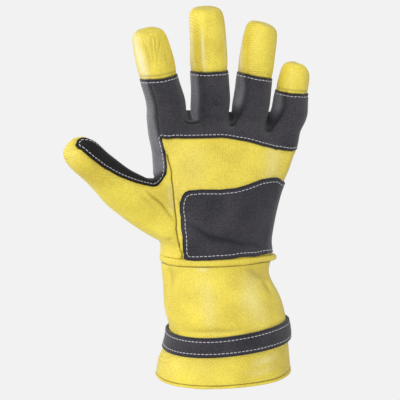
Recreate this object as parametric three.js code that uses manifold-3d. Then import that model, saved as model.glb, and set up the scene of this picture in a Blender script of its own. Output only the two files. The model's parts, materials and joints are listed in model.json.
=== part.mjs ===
// A left-hand firefighter glove, filled out as if a hand were in it: fingers up along +Z, palm towards -Y,
// thumb towards -X. The origin is the middle of the cuff's mouth. Sizes are in millimetres.
//
// The skin of the hand is one grid of four-sided faces: a tube round the palm that divides into four
// fingers, with the thumb set into an opening in its side. Each leather panel is the part of that grid
// inside its seams, given its thickness and drawn back a little from each seam. The cuff, welt, hem, strap
// and heel patch follow the same forms.
import * as THREE from "three";
import Module from "manifold-3d";
import { mergeVertices } from "three/addons/utils/BufferGeometryUtils.js";

// Leather
const leatherWall = 2.0;
const patchWall = 1.5;
const seamGap = 0.3;

// Cuff, from its mouth up to the wrist
const cuffHeight = 91;
const mouthWidth = 108;
const mouthDepth = 84;
const hemHeight = 3.0;
const hemSwell = 0.5;
const strapRise = 24.5;
const strapHeight = 14.5;
const strapWall = 2.2;
const strapTilt = 1.6;
const strapLift = 3.4;
const strapLiftTurn = 40;

// Wrist
const wristWidth = 87;
const wristDepth = 60;
const wristShift = -7.4;
const weltHeight = 5.0;
const weltSwell = 1.1;
const weltBulge = 3.8;

// Palm, from the wrist to the gap between index and middle finger
const palmHeight = 102;
const palmDepth = 46;
const knuckleFall = 13;
const knuckleShift = -1;
const webWidth = 2.6;
const webRise = 2.5;

// Fingers. lean is in degrees towards the little finger and curl is how far the tip comes forward. Each
// finger is rootWidth wide where it leaves the palm, and swells to width and depth above it, where it
// stands aside by step. Its seams drop by skew degrees towards the little finger, and dome is the share by
// which its tip is rounder than the others'.
const fingers = [
  {
    name: "index", lean: -16, step: 2.9, skew: 7, length: 71.5, curl: 8,
    rootWidth: 32.4, width: 31.2, tipWidth: 26.4, depth: 27, tipDepth: 23, dome: 0.03,
  },
  {
    name: "middle", lean: -5.2, step: 2.5, skew: 3.5, length: 86, curl: 7,
    rootWidth: 29.8, width: 31, tipWidth: 26.4, depth: 27, tipDepth: 23, dome: 0,
  },
  {
    name: "ring", lean: 5.6, step: 0.3, skew: 5, length: 78, curl: 8,
    rootWidth: 27.6, width: 29.8, tipWidth: 24.2, depth: 26, tipDepth: 22, dome: 0,
  },
  {
    name: "little", lean: 5.2, step: 2.8, skew: 0, length: 54, curl: 7,
    rootWidth: 24.8, width: 32, tipWidth: 21.2, depth: 25, tipDepth: 20, dome: 0.13,
  },
];
// The share of each finger's length that the grey panels cover, below its tip cap.
const capShares = { index: 0.49, middle: 0.438, ring: 0.482, little: 0.57 };

// Thumb. Lean is its rise above the horizontal and forward its turn towards the palm side, both in degrees.
const thumbLength = 101;
const thumbLean = 33;
const thumbForward = 25;
const thumbRootLean = 21;
const thumbRootForward = 17;
const thumbWidth = 31;
const thumbDepth = 27;

// Heel patch, on the little finger's side of the palm
const patchHeight = 51.6;
const patchInset = 9.5;
const patchCorner = 9;
const patchFoot = 0.5;
// Its upper edge, from the little finger's side to the thumb's: across is a share of its width, rise is how
// far the edge stands above patchHeight.
const patchTop = [
  { across: 1.0, rise: 0.6 },
  { across: 0.86, rise: 1.6 },
  { across: 0.81, rise: 3.6 },
  { across: 0.77, rise: 5.7 },
  { across: 0.72, rise: 6.7 },
  { across: 0.67, rise: 6.5 },
  { across: 0.6, rise: 5.1 },
  { across: 0.54, rise: 3.5 },
  { across: 0.46, rise: 1.4 },
  { across: 0.37, rise: 0.2 },
  { across: 0.2, rise: 0.1 },
];

// How the grid is divided
const fingerColumns = 4;
const sideRows = 4;
const cuffSteps = 40;
const holeFootRow = 2;
const holeHeadRow = 6;
const seamHeadRow = 8;
const knuckleRow = 9;

// Palm sections from the wrist up. rise is a share of palmHeight, spread runs from wristWidth to the
// knuckles' width, shift is a share of wristShift, front and back are shares of half of palmDepth, inset is
// a share of palmDepth, corner is a share of front and back, and fall is a share of knuckleFall.
const palmSections = [
  { rise: 0.0, spread: 0.0, shift: 1.0, front: 1.2, back: 1.2, inset: 0.2, corner: 0.7, fall: 0 },
  { rise: 0.045, spread: -0.03, shift: 1.06, front: 1.18, back: 1.13, inset: 0.185, corner: 0.71, fall: 0 },
  { rise: 0.11, spread: -0.01, shift: 1.27, front: 1.16, back: 1.03, inset: 0.165, corner: 0.7, fall: 0 },
  { rise: 0.23, spread: 0.105, shift: 1.27, front: 1.14, back: 0.97, inset: 0.15, corner: 0.68, fall: 0 },
  { rise: 0.352, spread: 0.235, shift: 1.15, front: 1.12, back: 0.93, inset: 0.15, corner: 0.66, fall: 0 },
  { rise: 0.475, spread: 0.39, shift: 0.9, front: 1.08, back: 0.9, inset: 0.16, corner: 0.63, fall: 0 },
  { rise: 0.588, spread: 0.54, shift: 0.41, front: 1.03, back: 0.88, inset: 0.15, corner: 0.62, fall: 0.05 },
  { rise: 0.691, spread: 0.65, shift: 0.19, front: 0.97, back: 0.86, inset: 0.14, corner: 0.62, fall: 0.25 },
  { rise: 0.794, spread: 0.76, shift: 0.1, front: 0.91, back: 0.83, inset: 0.13, corner: 0.62, fall: 0.55 },
  { rise: 0.884, spread: 0.88, shift: 0.08, front: 0.83, back: 0.79, inset: 0.12, corner: 0.64, fall: 0.95 },
];
// Where the skin divides: how far each finger gap, and the hand's two edges, lie below the highest gap.
const gapFalls = [0.06, 0.0, 0.08, 0.5, 1.0];

// Finger sections. Below the cap along is a share of the grey length, above it a share of the cap's length;
// full is a share of the finger's width and depth there, swell the share of the way from rootWidth to
// width.
const fingerBelowCap = [
  { along: 0.16, full: 0.98, swell: 0.45 },
  { along: 0.42, full: 1.0, swell: 0.9 },
  { along: 0.71, full: 0.99, swell: 1 },
  { along: 1.0, full: 1.0, swell: 1 },
];
const fingerAboveCap = [
  { along: 0.33, full: 1.01, swell: 1 },
  { along: 0.63, full: 1.01, swell: 1 },
  { along: 0.85, full: 0.95, swell: 1 },
  { along: 0.955, full: 0.74, swell: 1 },
];
const fingerInset = 0.33;
const fingerCorner = 0.7;

// Thumb sections: along is a share of its length, width and depth are shares of thumbWidth and thumbDepth,
// twist is in degrees and brings the inner strip to the front.
const thumbSections = [
  { along: 0.3, width: 1.14, depth: 1.16, twist: 8 },
  { along: 0.45, width: 1.03, depth: 1.05, twist: 20 },
  { along: 0.6, width: 0.93, depth: 0.96, twist: 30 },
  { along: 0.74, width: 0.89, depth: 0.91, twist: 38 },
  { along: 0.87, width: 0.86, depth: 0.85, twist: 43 },
  { along: 0.955, width: 0.66, depth: 0.62, twist: 43 },
];
// The throat between palm and thumb: where its sections lie, and how long the skin keeps its direction at
// each end.
const throatShares = [0.34, 0.68];
const throatFoot = 0.6;
const throatHead = 0.8;

// Cuff sections. rise is a share of cuffHeight, width and depth are shares of the mouth's, shift is a share
// of the mouth's width towards the little finger, tip is how far the section's little-finger side drops, as
// a share of it.
const cuffSections = [
  { rise: 0.0, width: 1.0, depth: 1.0, shift: 0.0, tip: -0.005 },
  { rise: 0.068, width: 1.0, depth: 1.0, shift: 0.002, tip: -0.006 },
  { rise: 0.164, width: 0.965, depth: 0.985, shift: 0.008, tip: -0.008 },
  { rise: 0.261, width: 0.91, depth: 0.95, shift: 0.025, tip: -0.012 },
  { rise: 0.348, width: 0.87, depth: 0.93, shift: 0.03, tip: -0.014 },
  { rise: 0.435, width: 0.86, depth: 0.93, shift: 0.026, tip: -0.01 },
  { rise: 0.561, width: 0.87, depth: 0.9, shift: 0.0, tip: 0.0 },
  { rise: 0.696, width: 0.84, depth: 0.83, shift: -0.03, tip: 0.005 },
  { rise: 0.832, width: 0.79, depth: 0.765, shift: -0.062, tip: 0.01 },
  { rise: 0.91, width: 0.78, depth: 0.72, shift: -0.073, tip: 0.004 },
  { rise: 1.0, width: 0.8, depth: 0.715, shift: -0.064, tip: 0.0 },
];
const cuffSquareness = 2.15;

const radians = THREE.MathUtils.degToRad;
const lerp = THREE.MathUtils.lerp;
const smooth = (t) => THREE.MathUtils.smoothstep(t, 0, 1);
// One quarter-turn arc of an ellipse from corner to corner: 0 at -1 and 1, and 1 in the middle.
const arc = (t) => (Math.sqrt(1 - (t * t) / 2) - Math.SQRT1_2) / (1 - Math.SQRT1_2);
const stepsOf = (count) => Array.from({ length: count + 1 }, (_, i) => i / count);

// Reads a column of a table at any rise, in straight lines between its rows.
function readTable(rows, key, column, at) {
  const above = Math.max(1, rows.findIndex((row) => row[key] >= at - 1e-9));
  const [low, high] = [rows[above - 1], rows[above]];
  return lerp(low[column], high[column], (at - low[key]) / (high[key] - low[key]));
}

// Heights that the pieces share
const weltFoot = cuffHeight + seamGap;
const wristZ = weltFoot + weltHeight + seamGap;
const gapZ = wristZ + palmHeight;
const knuckleWidth = fingers.reduce((sum, finger) => sum + finger.rootWidth, 0) + 3 * webWidth;
fingers.forEach((finger, i) => {
  const before = fingers.slice(0, i).reduce((sum, other) => sum + other.rootWidth + webWidth, 0);
  finger.x = knuckleShift - knuckleWidth / 2 + before + finger.rootWidth / 2;
});
const frontColumns = fingers.length * fingerColumns + (fingers.length - 1);
const firstColumn = (fingerIndex) => fingerIndex * (fingerColumns + 1);

// The grid: points with an outward normal, and faces with the name of their panel
const points = [];
const faces = [];
const addPoint = (x, y, z) => points.push(new THREE.Vector3(x, y, z)) - 1;
const addFace = (panel, a, b, c, d) => faces.push({ panel, corners: [a, b, c, d] });

// A closed section as four arcs that meet in corners: front, the side at +X, back, and the side at -X.
function sectionPoint(side, t, { left, right, front, back, inset, corner }) {
  const across = 2 * t - 1;
  if (side === "front" || side === "back") {
    const x = lerp(left + inset, right - inset, t);
    const depth = side === "front" ? front : back;
    return [x, (side === "front" ? -1 : 1) * depth * (corner + (1 - corner) * arc(across))];
  }
  const y = lerp(-front * corner, back * corner, t);
  return side === "left" ? [left + inset * (1 - arc(across)), y] : [right - inset * (1 - arc(across)), y];
}

// How far along the front each grid line lies: by the finger bases at the knuckles, and evenly at the wrist.
const knuckleShares = [];
fingers.forEach((finger) => {
  const half = (finger.rootWidth / 2) * (1 - fingerInset);
  const outer = (fingers[0].rootWidth / 2) * fingerInset;
  const reach = knuckleWidth - outer - (fingers.at(-1).rootWidth / 2) * fingerInset;
  stepsOf(fingerColumns).forEach((t) => {
    const x = finger.x - half + 2 * half * t;
    knuckleShares.push((x - (knuckleShift - knuckleWidth / 2 + outer)) / reach);
  });
});
const columnShare = (column, spread) => lerp(column / frontColumns, knuckleShares[column], spread);

// The ring of grid points at one palm section: { front, back, left, right } lists of point numbers. front
// and back run from -X to +X, left and right from the front corner to the back corner.
function palmRing(row) {
  const width = lerp(wristWidth, knuckleWidth, row.spread);
  const middle = wristShift * row.shift + knuckleShift * (1 - row.shift);
  const depth = lerp(wristDepth / palmSections[0].front, palmDepth, smooth(row.rise / 0.4));
  const shape = {
    left: middle - width / 2,
    right: middle + width / 2,
    front: (depth / 2) * row.front,
    back: (depth / 2) * row.back,
    inset: palmDepth * row.inset,
    corner: row.corner,
  };
  const height = (t) => wristZ + palmHeight * row.rise - knuckleFall * row.fall * smooth((t - 0.42) / 0.58);
  const place = (side, t, share) => {
    const [x, y] = sectionPoint(side, t, shape);
    return addPoint(x, y, height(share));
  };
  const fingered = smooth((row.spread - 0.3) / 0.6);
  const front = stepsOf(frontColumns).map((_, i) => {
    const t = columnShare(i, fingered);
    return place("front", t, t);
  });
  const back = stepsOf(frontColumns).map((_, i) => {
    const t = columnShare(i, fingered);
    return place("back", t, t);
  });
  const inner = stepsOf(sideRows).slice(1, -1);
  return {
    front,
    back,
    left: [front[0], ...inner.map((t) => place("left", t, 0)), back[0]],
    right: [front.at(-1), ...inner.map((t) => place("right", t, 1)), back.at(-1)],
  };
}

const palmRings = palmSections.map(palmRing);

// The top of the palm, where the fingers start: each finger's base ring, with the gap's floor between two
// fingers.
const webLift = (t) => webRise * t;
const fingerBases = fingers.map((finger, i) => {
  const halfWidth = finger.rootWidth / 2;
  const shape = {
    left: finger.x - halfWidth,
    right: finger.x + halfWidth,
    front: finger.depth / 2,
    back: finger.depth / 2,
    inset: halfWidth * fingerInset,
    corner: fingerCorner,
  };
  const height = (t) => gapZ - knuckleFall * lerp(gapFalls[i], gapFalls[i + 1], t);
  const place = (side, t, across, lift) => {
    const [x, y] = sectionPoint(side, t, shape);
    return addPoint(x, y, height(across) + lift);
  };
  const front = stepsOf(fingerColumns).map((t) => place("front", t, t, 0));
  const back = stepsOf(fingerColumns).map((t) => place("back", t, t, webLift(1)));
  const inner = stepsOf(sideRows).slice(1, -1);
  return {
    front,
    back,
    left: [front[0], ...inner.map((t) => place("left", t, 0, webLift(t))), back[0]],
    right: [front.at(-1), ...inner.map((t) => place("right", t, 1, webLift(t))), back.at(-1)],
  };
});

// A finger's ring at a share of its length, across its leaning, curling centre line.
function fingerRing(finger, index, along, full, swell) {
  const lean = radians(finger.lean);
  const turn = lean * smooth(along / 0.3);
  const axis = new THREE.Vector3(Math.sin(lean), 0, Math.cos(lean));
  const across = new THREE.Vector3(Math.cos(turn), 0, -Math.sin(turn));
  const baseZ = gapZ - knuckleFall * (gapFalls[index] + gapFalls[index + 1]) / 2;
  const aside = finger.step * smooth(along / 0.25);
  const centre = new THREE.Vector3(finger.x + aside, -finger.curl * along * along, baseZ);
  centre.addScaledVector(axis, finger.length * along);
  const width = lerp(finger.rootWidth, finger.width, swell);
  const halfWidth = (lerp(width, finger.tipWidth, along) / 2) * full;
  const halfDepth = (lerp(finger.depth, finger.tipDepth, along) / 2) * full;
  const shape = {
    left: -halfWidth,
    right: halfWidth,
    front: halfDepth,
    back: halfDepth,
    inset: halfWidth * fingerInset,
    corner: fingerCorner,
  };
  // The lowest rings still follow the slope of the gaps on either side.
  const slope = (1 - smooth(along / 0.3)) * knuckleFall * (gapFalls[index] - gapFalls[index + 1]);
  const bend = (2 * finger.curl * along) / finger.length;
  const place = (side, t) => {
    const [x, y] = sectionPoint(side, t, shape);
    const p = centre.clone().addScaledVector(across, x);
    const drop = x * Math.tan(radians(finger.skew)) * smooth(along / 0.3);
    const web = webLift(0.5 + y / (2 * halfDepth)) * (1 - smooth(along / 0.5));
    const lift = y * bend - drop + slope * (x / (2 * halfWidth)) + web;
    return addPoint(p.x, p.y + y, p.z + lift);
  };
  const front = stepsOf(fingerColumns).map((t) => place("front", t));
  const back = stepsOf(fingerColumns).map((t) => place("back", t));
  const inner = stepsOf(sideRows).slice(1, -1);
  return {
    front,
    back,
    left: [front[0], ...inner.map((t) => place("left", t)), back[0]],
    right: [front.at(-1), ...inner.map((t) => place("right", t)), back.at(-1)],
  };
}

// Joins two rings with faces. panels gives the panel's name for each side and column.
function joinRings(low, high, panelOf) {
  for (const side of ["front", "right", "back", "left"]) {
    const forward = side === "front" || side === "right";
    for (let i = 0; i < low[side].length - 1; i++) {
      const [a, b, c, d] = [low[side][i], low[side][i + 1], high[side][i + 1], high[side][i]];
      const panel = panelOf(side, i);
      if (!panel) continue;
      if (forward) addFace(panel, a, b, c, d);
      else addFace(panel, b, a, d, c);
    }
  }
}

// The palm tube up to the knuckle seam, with the opening for the thumb in its -X side
function palmPanel(row) {
  const inHole = row >= holeFootRow && row < holeHeadRow;
  return (side, column) => {
    const thumbColumn = column === 0;
    if (side === "front") {
      if (!thumbColumn) return "palm_panel";
      if (inHole) return null;
      return row < seamHeadRow ? "thumb_shell" : "palm_panel";
    }
    if (side === "back") {
      if (!thumbColumn) return "back_panel";
      if (inHole) return null;
      return row < holeHeadRow ? "thumb_shell" : "back_panel";
    }
    if (side === "right") return column < sideRows / 2 ? "palm_panel" : "back_panel";
    if (inHole) return null;
    return row < holeFootRow ? "thumb_shell" : "index_side_panel";
  };
}
for (let row = 0; row < knuckleRow; row++) joinRings(palmRings[row], palmRings[row + 1], palmPanel(row));

// From the knuckle seam to the fingers: the grey panels start here
const topRing = {
  front: fingerBases.flatMap((base) => base.front),
  back: fingerBases.flatMap((base) => base.back),
  left: fingerBases[0].left,
  right: fingerBases.at(-1).right,
};
const greyPanel = {
  front: "finger_front_panel",
  back: "finger_back_panel",
  left: "index_side_panel",
  right: "little_side_panel",
};
joinRings(palmRings[knuckleRow], topRing, (side) => greyPanel[side]);

// Each gap between two fingers is floored by the strip that runs up both of its sides.
const gapNames = fingers.slice(1).map((finger, i) => `${fingers[i].name}_${finger.name}_gusset`);
gapNames.forEach((name, i) => {
  const [near, far] = [fingerBases[i].right, fingerBases[i + 1].left];
  for (let k = 0; k < sideRows; k++) addFace(name, near[k], far[k], far[k + 1], near[k + 1]);
});

// Closes a ring with a grid of faces over a low dome. The four sides run round the ring; each holds its end
// points.
// panelOf gives the panel's name for each row and column of the grid.
function closeRing(panelOf, ring, apex, axis, doming) {
  const { front, right, back, left } = ring;
  const [columns, rows] = [front.length - 1, left.length - 1];
  const centre = apex.clone();
  const grid = [];
  for (let r = 0; r <= rows; r++) {
    grid.push([]);
    for (let c = 0; c <= columns; c++) {
      if (r === 0) grid[r].push(front[c]);
      else if (r === rows) grid[r].push(back[c]);
      else if (c === 0) grid[r].push(left[r]);
      else if (c === columns) grid[r].push(right[r]);
      else {
        const [s, t] = [c / columns, r / rows];
        const p = points[front[c]].clone().multiplyScalar((1 - t) / 2);
        p.addScaledVector(points[back[c]], t / 2);
        p.addScaledVector(points[left[r]], (1 - s) / 2).addScaledVector(points[right[r]], s / 2);
        const high = doming * Math.sqrt(Math.sin(Math.PI * s) * Math.sin(Math.PI * t));
        p.addScaledVector(axis, centre.clone().sub(p).dot(axis) * high);
        grid[r].push(addPoint(p.x, p.y, p.z));
      }
    }
  }
  for (let r = 0; r < rows; r++)
    for (let c = 0; c < columns; c++)
      addFace(panelOf(r, c), grid[r][c], grid[r][c + 1], grid[r + 1][c + 1], grid[r + 1][c]);
}

// A finger's sides above its base: grey panels up to the cap, then the cap, closed at the tip
fingers.forEach((finger, i) => {
  const panels = {
    front: "finger_front_panel",
    back: "finger_back_panel",
    left: i === 0 ? "index_side_panel" : gapNames[i - 1],
    right: i === fingers.length - 1 ? "little_side_panel" : gapNames[i],
  };
  const capName = `${finger.name}_tip_cap`;
  let last = fingerBases[i];
  const cap = capShares[finger.name];
  for (const { along, full, swell } of fingerBelowCap) {
    const next = fingerRing(finger, i, along * cap, full, swell);
    joinRings(last, next, (side) => panels[side]);
    last = next;
  }
  for (const { along, full, swell } of fingerAboveCap) {
    const drawnIn = full - finger.dome * along ** 3;
    const next = fingerRing(finger, i, lerp(cap, 1, along), drawnIn, swell);
    joinRings(last, next, () => capName);
    last = next;
  }
  const lean = radians(finger.lean);
  const forward = -(2 * finger.curl) / finger.length;
  const axis = new THREE.Vector3(Math.sin(lean), forward, Math.cos(lean)).normalize();
  const baseZ = gapZ - knuckleFall * (gapFalls[i] + gapFalls[i + 1]) / 2;
  const reach = new THREE.Vector3(Math.sin(lean), 0, Math.cos(lean)).multiplyScalar(finger.length);
  const tip = new THREE.Vector3(finger.x + finger.step, -finger.curl, baseZ).add(reach);
  closeRing(() => capName, last, tip, axis, 0.92);
});

// The thumb: its root is the edge of the opening in the palm tube, its tube follows a bent centre line.
const direction = (lean, forward) =>
  new THREE.Vector3(-Math.cos(lean) * Math.cos(forward), -Math.cos(lean) * Math.sin(forward), Math.sin(lean));
const holeRings = palmRings.slice(holeFootRow, holeHeadRow + 1);
const rim = (ring) => [ring.front[1], ...ring.left, ring.back[1]];
const thumbRoot = {
  front: holeRings.map((ring) => ring.front[1]),
  back: holeRings.map((ring) => ring.back[1]),
  head: rim(holeRings.at(-1)),
  foot: rim(holeRings[0]),
};
const rootPoints = [...thumbRoot.head, ...thumbRoot.foot].map((n) => points[n]);
const rootSum = rootPoints.reduce((sum, p) => sum.add(p), new THREE.Vector3());
const rootCentre = rootSum.divideScalar(rootPoints.length);
const thumbDirection = direction(radians(thumbLean), radians(thumbForward));
const thumbTip = rootCentre.clone().addScaledVector(thumbDirection, thumbLength);
const thumbElbow = rootCentre
  .clone()
  .addScaledVector(direction(radians(thumbRootLean), radians(thumbRootForward)), thumbLength / 2);
const thumbLine = new THREE.QuadraticBezierCurve3(rootCentre, thumbElbow, thumbTip);

const headSteps = thumbRoot.head.length - 1;
const edgeSteps = thumbRoot.front.length - 1;
const thumbSteps = 2 * (headSteps + edgeSteps);

// A thumb ring as { front, back, head, foot }: head is the side towards the index finger. front and back
// run from foot to head, head and foot from front to back.
function thumbRing({ along, width, depth, twist }) {
  const centre = thumbLine.getPoint(along);
  const axis = thumbLine.getTangent(along);
  const towardsBack = new THREE.Vector3(0, 1, 0).addScaledVector(axis, -axis.y).normalize();
  const towardsHead = axis.clone().cross(towardsBack).normalize();
  if (towardsHead.z < 0) towardsHead.negate();
  const [a, b] = [(thumbWidth / 2) * width, (thumbDepth / 2) * depth];
  const ring = [];
  for (let i = 0; i < thumbSteps; i++) {
    // Step 0 is the corner between front and head; the head side spans headSteps from there.
    const angle = (2 * Math.PI * (i - headSteps / 2)) / thumbSteps + radians(-twist);
    const p = centre.clone().addScaledVector(towardsHead, a * Math.cos(angle));
    p.addScaledVector(towardsBack, b * Math.sin(angle));
    ring.push(addPoint(p.x, p.y, p.z));
  }
  const at = (n) => ring[((n % thumbSteps) + thumbSteps) % thumbSteps];
  const run = (from, count, step) => Array.from({ length: count + 1 }, (_, k) => at(from + step * k));
  return {
    head: run(0, headSteps, 1),
    back: run(headSteps + edgeSteps, edgeSteps, -1),
    foot: run(-edgeSteps, headSteps, -1),
    front: run(-edgeSteps, edgeSteps, 1),
  };
}

// The skin leaves the palm in the direction it had there, and at its foot straight towards the thumb, in a
// smooth throat.
const tubeRings = thumbSections.map(thumbRing);
const leaving = new Map();
function leave(n, from, to) {
  const step = points[to].clone().sub(points[from]).normalize();
  leaving.set(n, (leaving.get(n) ?? new THREE.Vector3()).add(step));
}
holeRings.forEach((ring) => {
  leave(ring.front[1], ring.front[2], ring.front[1]);
  leave(ring.back[1], ring.back[2], ring.back[1]);
});
thumbRoot.head.forEach((n, k) => leave(n, rim(palmRings[holeHeadRow + 1])[k], n));
thumbRoot.foot.forEach((n, k) => leave(n, n, tubeRings[0].foot[k]));

function throatRing(low, high, share, axis) {
  const [s2, s3] = [share * share, share * share * share];
  const made = new Map();
  const place = (a, b) => {
    if (!made.has(a)) {
      const reach = points[a].distanceTo(points[b]);
      const p = points[a].clone().multiplyScalar(2 * s3 - 3 * s2 + 1);
      p.addScaledVector(leaving.get(a).clone().normalize(), reach * throatFoot * (s3 - 2 * s2 + share));
      p.addScaledVector(points[b], 3 * s2 - 2 * s3);
      p.addScaledVector(axis, reach * throatHead * (s3 - s2));
      made.set(a, addPoint(p.x, p.y, p.z));
    }
    return made.get(a);
  };
  const between = (side) => low[side].map((n, k) => place(n, high[side][k]));
  return Object.fromEntries(Object.keys(low).map((side) => [side, between(side)]));
}

const tubeStart = thumbLine.getTangent(thumbSections[0].along);
const throat = throatShares.map((share) => throatRing(thumbRoot, tubeRings[0], share, tubeStart));
const thumbRings = [...throat, ...tubeRings];
const onStrip = (k) => k >= 1 && k < headSteps - 1;
let lastThumb = thumbRoot;
thumbRings.forEach((ring) => {
  for (const side of ["head", "back", "foot", "front"]) {
    const forward = side === "head" || side === "front";
    for (let k = 0; k < ring[side].length - 1; k++) {
      const panel = side === "head" && onStrip(k) ? "thumb_strip" : "thumb_shell";
      const [a, b, c, d] = [lastThumb[side][k], lastThumb[side][k + 1], ring[side][k + 1], ring[side][k]];
      if (forward) addFace(panel, a, b, c, d);
      else addFace(panel, b, a, d, c);
    }
  }
  lastThumb = ring;
});
const thumbEnd = {
  front: lastThumb.head,
  back: lastThumb.foot,
  left: lastThumb.front.toReversed(),
  right: lastThumb.back.toReversed(),
};
const thumbEndPanel = (r, c) => (r === 0 && onStrip(c) ? "thumb_strip" : "thumb_shell");
closeRing(thumbEndPanel, thumbEnd, thumbTip, thumbLine.getTangent(1), 0.92);

// Outward normals of the grid's points
const normals = points.map(() => new THREE.Vector3());
for (const { corners } of faces) {
  const [a, b, c, d] = corners.map((n) => points[n]);
  const across = c.clone().sub(a).cross(d.clone().sub(b));
  corners.forEach((n) => normals[n].add(across));
}
normals.forEach((n) => n.normalize());
// The hand's skin meets the welt squarely.
new Set(Object.values(palmRings[0]).flat()).forEach((n) => normals[n].setZ(0).normalize());

function bodyOf(positions, triangles) {
  const geometry = new THREE.BufferGeometry();
  const numbers = positions.flatMap((p) => [p.x, p.y, p.z]);
  geometry.setAttribute("position", new THREE.Float32BufferAttribute(numbers, 3));
  geometry.setIndex(triangles.flat());
  return geometry;
}

// Splits a four-sided face along its shorter diagonal, judged on the skin's own points so that layers agree.
function splitFace([a, b, c, d]) {
  const shorter = points[a].distanceTo(points[c]) <= points[b].distanceTo(points[d]);
  return shorter ? [[a, b, c], [a, c, d]] : [[a, b, d], [b, c, d]];
}

// Gives the chosen faces a thickness, from one distance off the skin to another, as one closed body. Its
// rim is drawn back from every seam by the margin.
function thicken(chosen, inner, outer, margin) {
  const open = new Map();
  for (const { corners } of chosen)
    corners.forEach((a, k) => {
      const b = corners[(k + 1) % 4];
      if (!open.delete(`${b},${a}`)) open.set(`${a},${b}`, [a, b]);
    });
  const pull = new Map();
  for (const [a, b] of open.values()) {
    const edge = points[b].clone().sub(points[a]);
    for (const n of [a, b]) {
      const inward = normals[n].clone().cross(edge).normalize();
      pull.set(n, [...(pull.get(n) ?? []), inward]);
    }
  }
  const drawnBack = (n) => {
    const inwards = pull.get(n);
    if (!inwards) return new THREE.Vector3();
    const sum = inwards.reduce((total, v) => total.add(v), new THREE.Vector3()).divideScalar(inwards.length);
    return sum.multiplyScalar(margin / Math.max(sum.lengthSq(), 0.4));
  };
  const used = [...new Set(chosen.flatMap(({ corners }) => corners))];
  const number = new Map(used.map((n, k) => [n, k]));
  const layer = (distance) =>
    used.map((n) => points[n].clone().add(drawnBack(n)).addScaledVector(normals[n], distance));
  const positions = [...layer(outer), ...layer(inner)];
  const top = (n) => number.get(n);
  const bottom = (n) => number.get(n) + used.length;
  const triangles = [];
  for (const { corners } of chosen)
    for (const [a, b, c] of splitFace(corners)) {
      triangles.push([top(a), top(b), top(c)]);
      triangles.push([bottom(a), bottom(c), bottom(b)]);
    }
  // Two panels split the wall between them the same way.
  for (const [a, b] of open.values()) {
    if (a < b) triangles.push([top(b), top(a), bottom(a)], [top(b), bottom(a), bottom(b)]);
    else triangles.push([top(b), top(a), bottom(b)], [top(a), bottom(a), bottom(b)]);
  }
  return bodyOf(positions, triangles);
}

// Joins rings of points into a closed ring-shaped body: rings[i][k] is point k of the section at step i.
function ringBody(rings) {
  const sides = rings[0].length;
  const triangles = [];
  rings.forEach((_, i) => {
    const next = (i + 1) % rings.length;
    for (let k = 0; k < sides; k++) {
      const other = (k + 1) % sides;
      const [a, b, c, d] = [i * sides + k, next * sides + k, next * sides + other, i * sides + other];
      triangles.push([a, b, c], [a, c, d]);
    }
  });
  return bodyOf(rings.flat(), triangles);
}

// A point of the cuff's outer face: turn 0 is at +X, a quarter turn on is the palm side.
function cuffPoint(height, turn, offset = 0) {
  const rise = height / cuffHeight;
  const at = (column) => readTable(cuffSections, "rise", column, rise);
  const halfWidth = (mouthWidth / 2) * at("width") + offset;
  const halfDepth = (mouthDepth / 2) * at("depth") + offset;
  const bend = (v) => Math.sign(v) * Math.abs(v) ** (2 / cuffSquareness);
  const x = mouthWidth * at("shift") + halfWidth * bend(Math.cos(turn));
  const y = -halfDepth * bend(Math.sin(turn));
  return new THREE.Vector3(x, y, height - at("tip") * x);
}
const turns = (steps) => Array.from({ length: steps }, (_, i) => (2 * Math.PI * i) / steps);

// The cuff is a tube from the hem to the welt. Its rows follow the strap's edges where the strap lies on it.
// The strap climbs on the little finger's side, its upper edge more than its lower one.
function strapEdge(side, turn) {
  const lift = strapLift * lerp(0.45, 1, side) * Math.max(0, Math.cos(turn - radians(strapLiftTurn))) ** 2;
  return strapRise + side * strapHeight + strapTilt * Math.cos(turn) + lift;
}
const strapRows = [0, 0.5, 1];
function cuffHeights(turn) {
  const [foot, head] = [strapEdge(0, turn), strapEdge(1, turn)];
  const start = hemHeight + seamGap;
  const below = [0, 0.3, 0.62, 0.88].map((share) => lerp(start, foot, share));
  const under = strapRows.map((share) => lerp(foot, head, share));
  const above = [0.07, 0.24, 0.42, 0.6, 0.78, 0.9, 1].map((share) => lerp(head, cuffHeight, share));
  return [...below, ...under, ...above];
}
function buildCuff() {
  const rings = turns(cuffSteps).map((turn) => {
    const heights = cuffHeights(turn);
    const outside = heights.map((height) => cuffPoint(height, turn));
    const inside = heights.map((height) => cuffPoint(height, turn, -leatherWall));
    return [...inside, ...outside.toReversed()];
  });
  return ringBody(rings);
}

// The hem is the rolled edge of the mouth, a little fuller than the wall above it.
function buildHem() {
  const rings = turns(cuffSteps).map((turn) => {
    const section = [
      [0.0, -leatherWall + 0.4],
      [0.2, -leatherWall - hemSwell],
      [1.0, -leatherWall - hemSwell],
      [1.0, hemSwell],
      [0.2, hemSwell],
      [0.0, -0.4],
    ];
    return section.map(([share, offset]) => cuffPoint(hemHeight * share, turn, offset));
  });
  return ringBody(rings);
}

function buildStrap() {
  const rings = turns(cuffSteps).map((turn) => {
    const heights = strapRows.map((share) => lerp(strapEdge(0, turn), strapEdge(1, turn), share));
    const under = heights.map((height) => cuffPoint(height, turn, seamGap));
    const over = heights.map((height) => cuffPoint(height, turn, seamGap + strapWall));
    return [...under, ...over.toReversed()];
  });
  return ringBody(rings);
}

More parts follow.
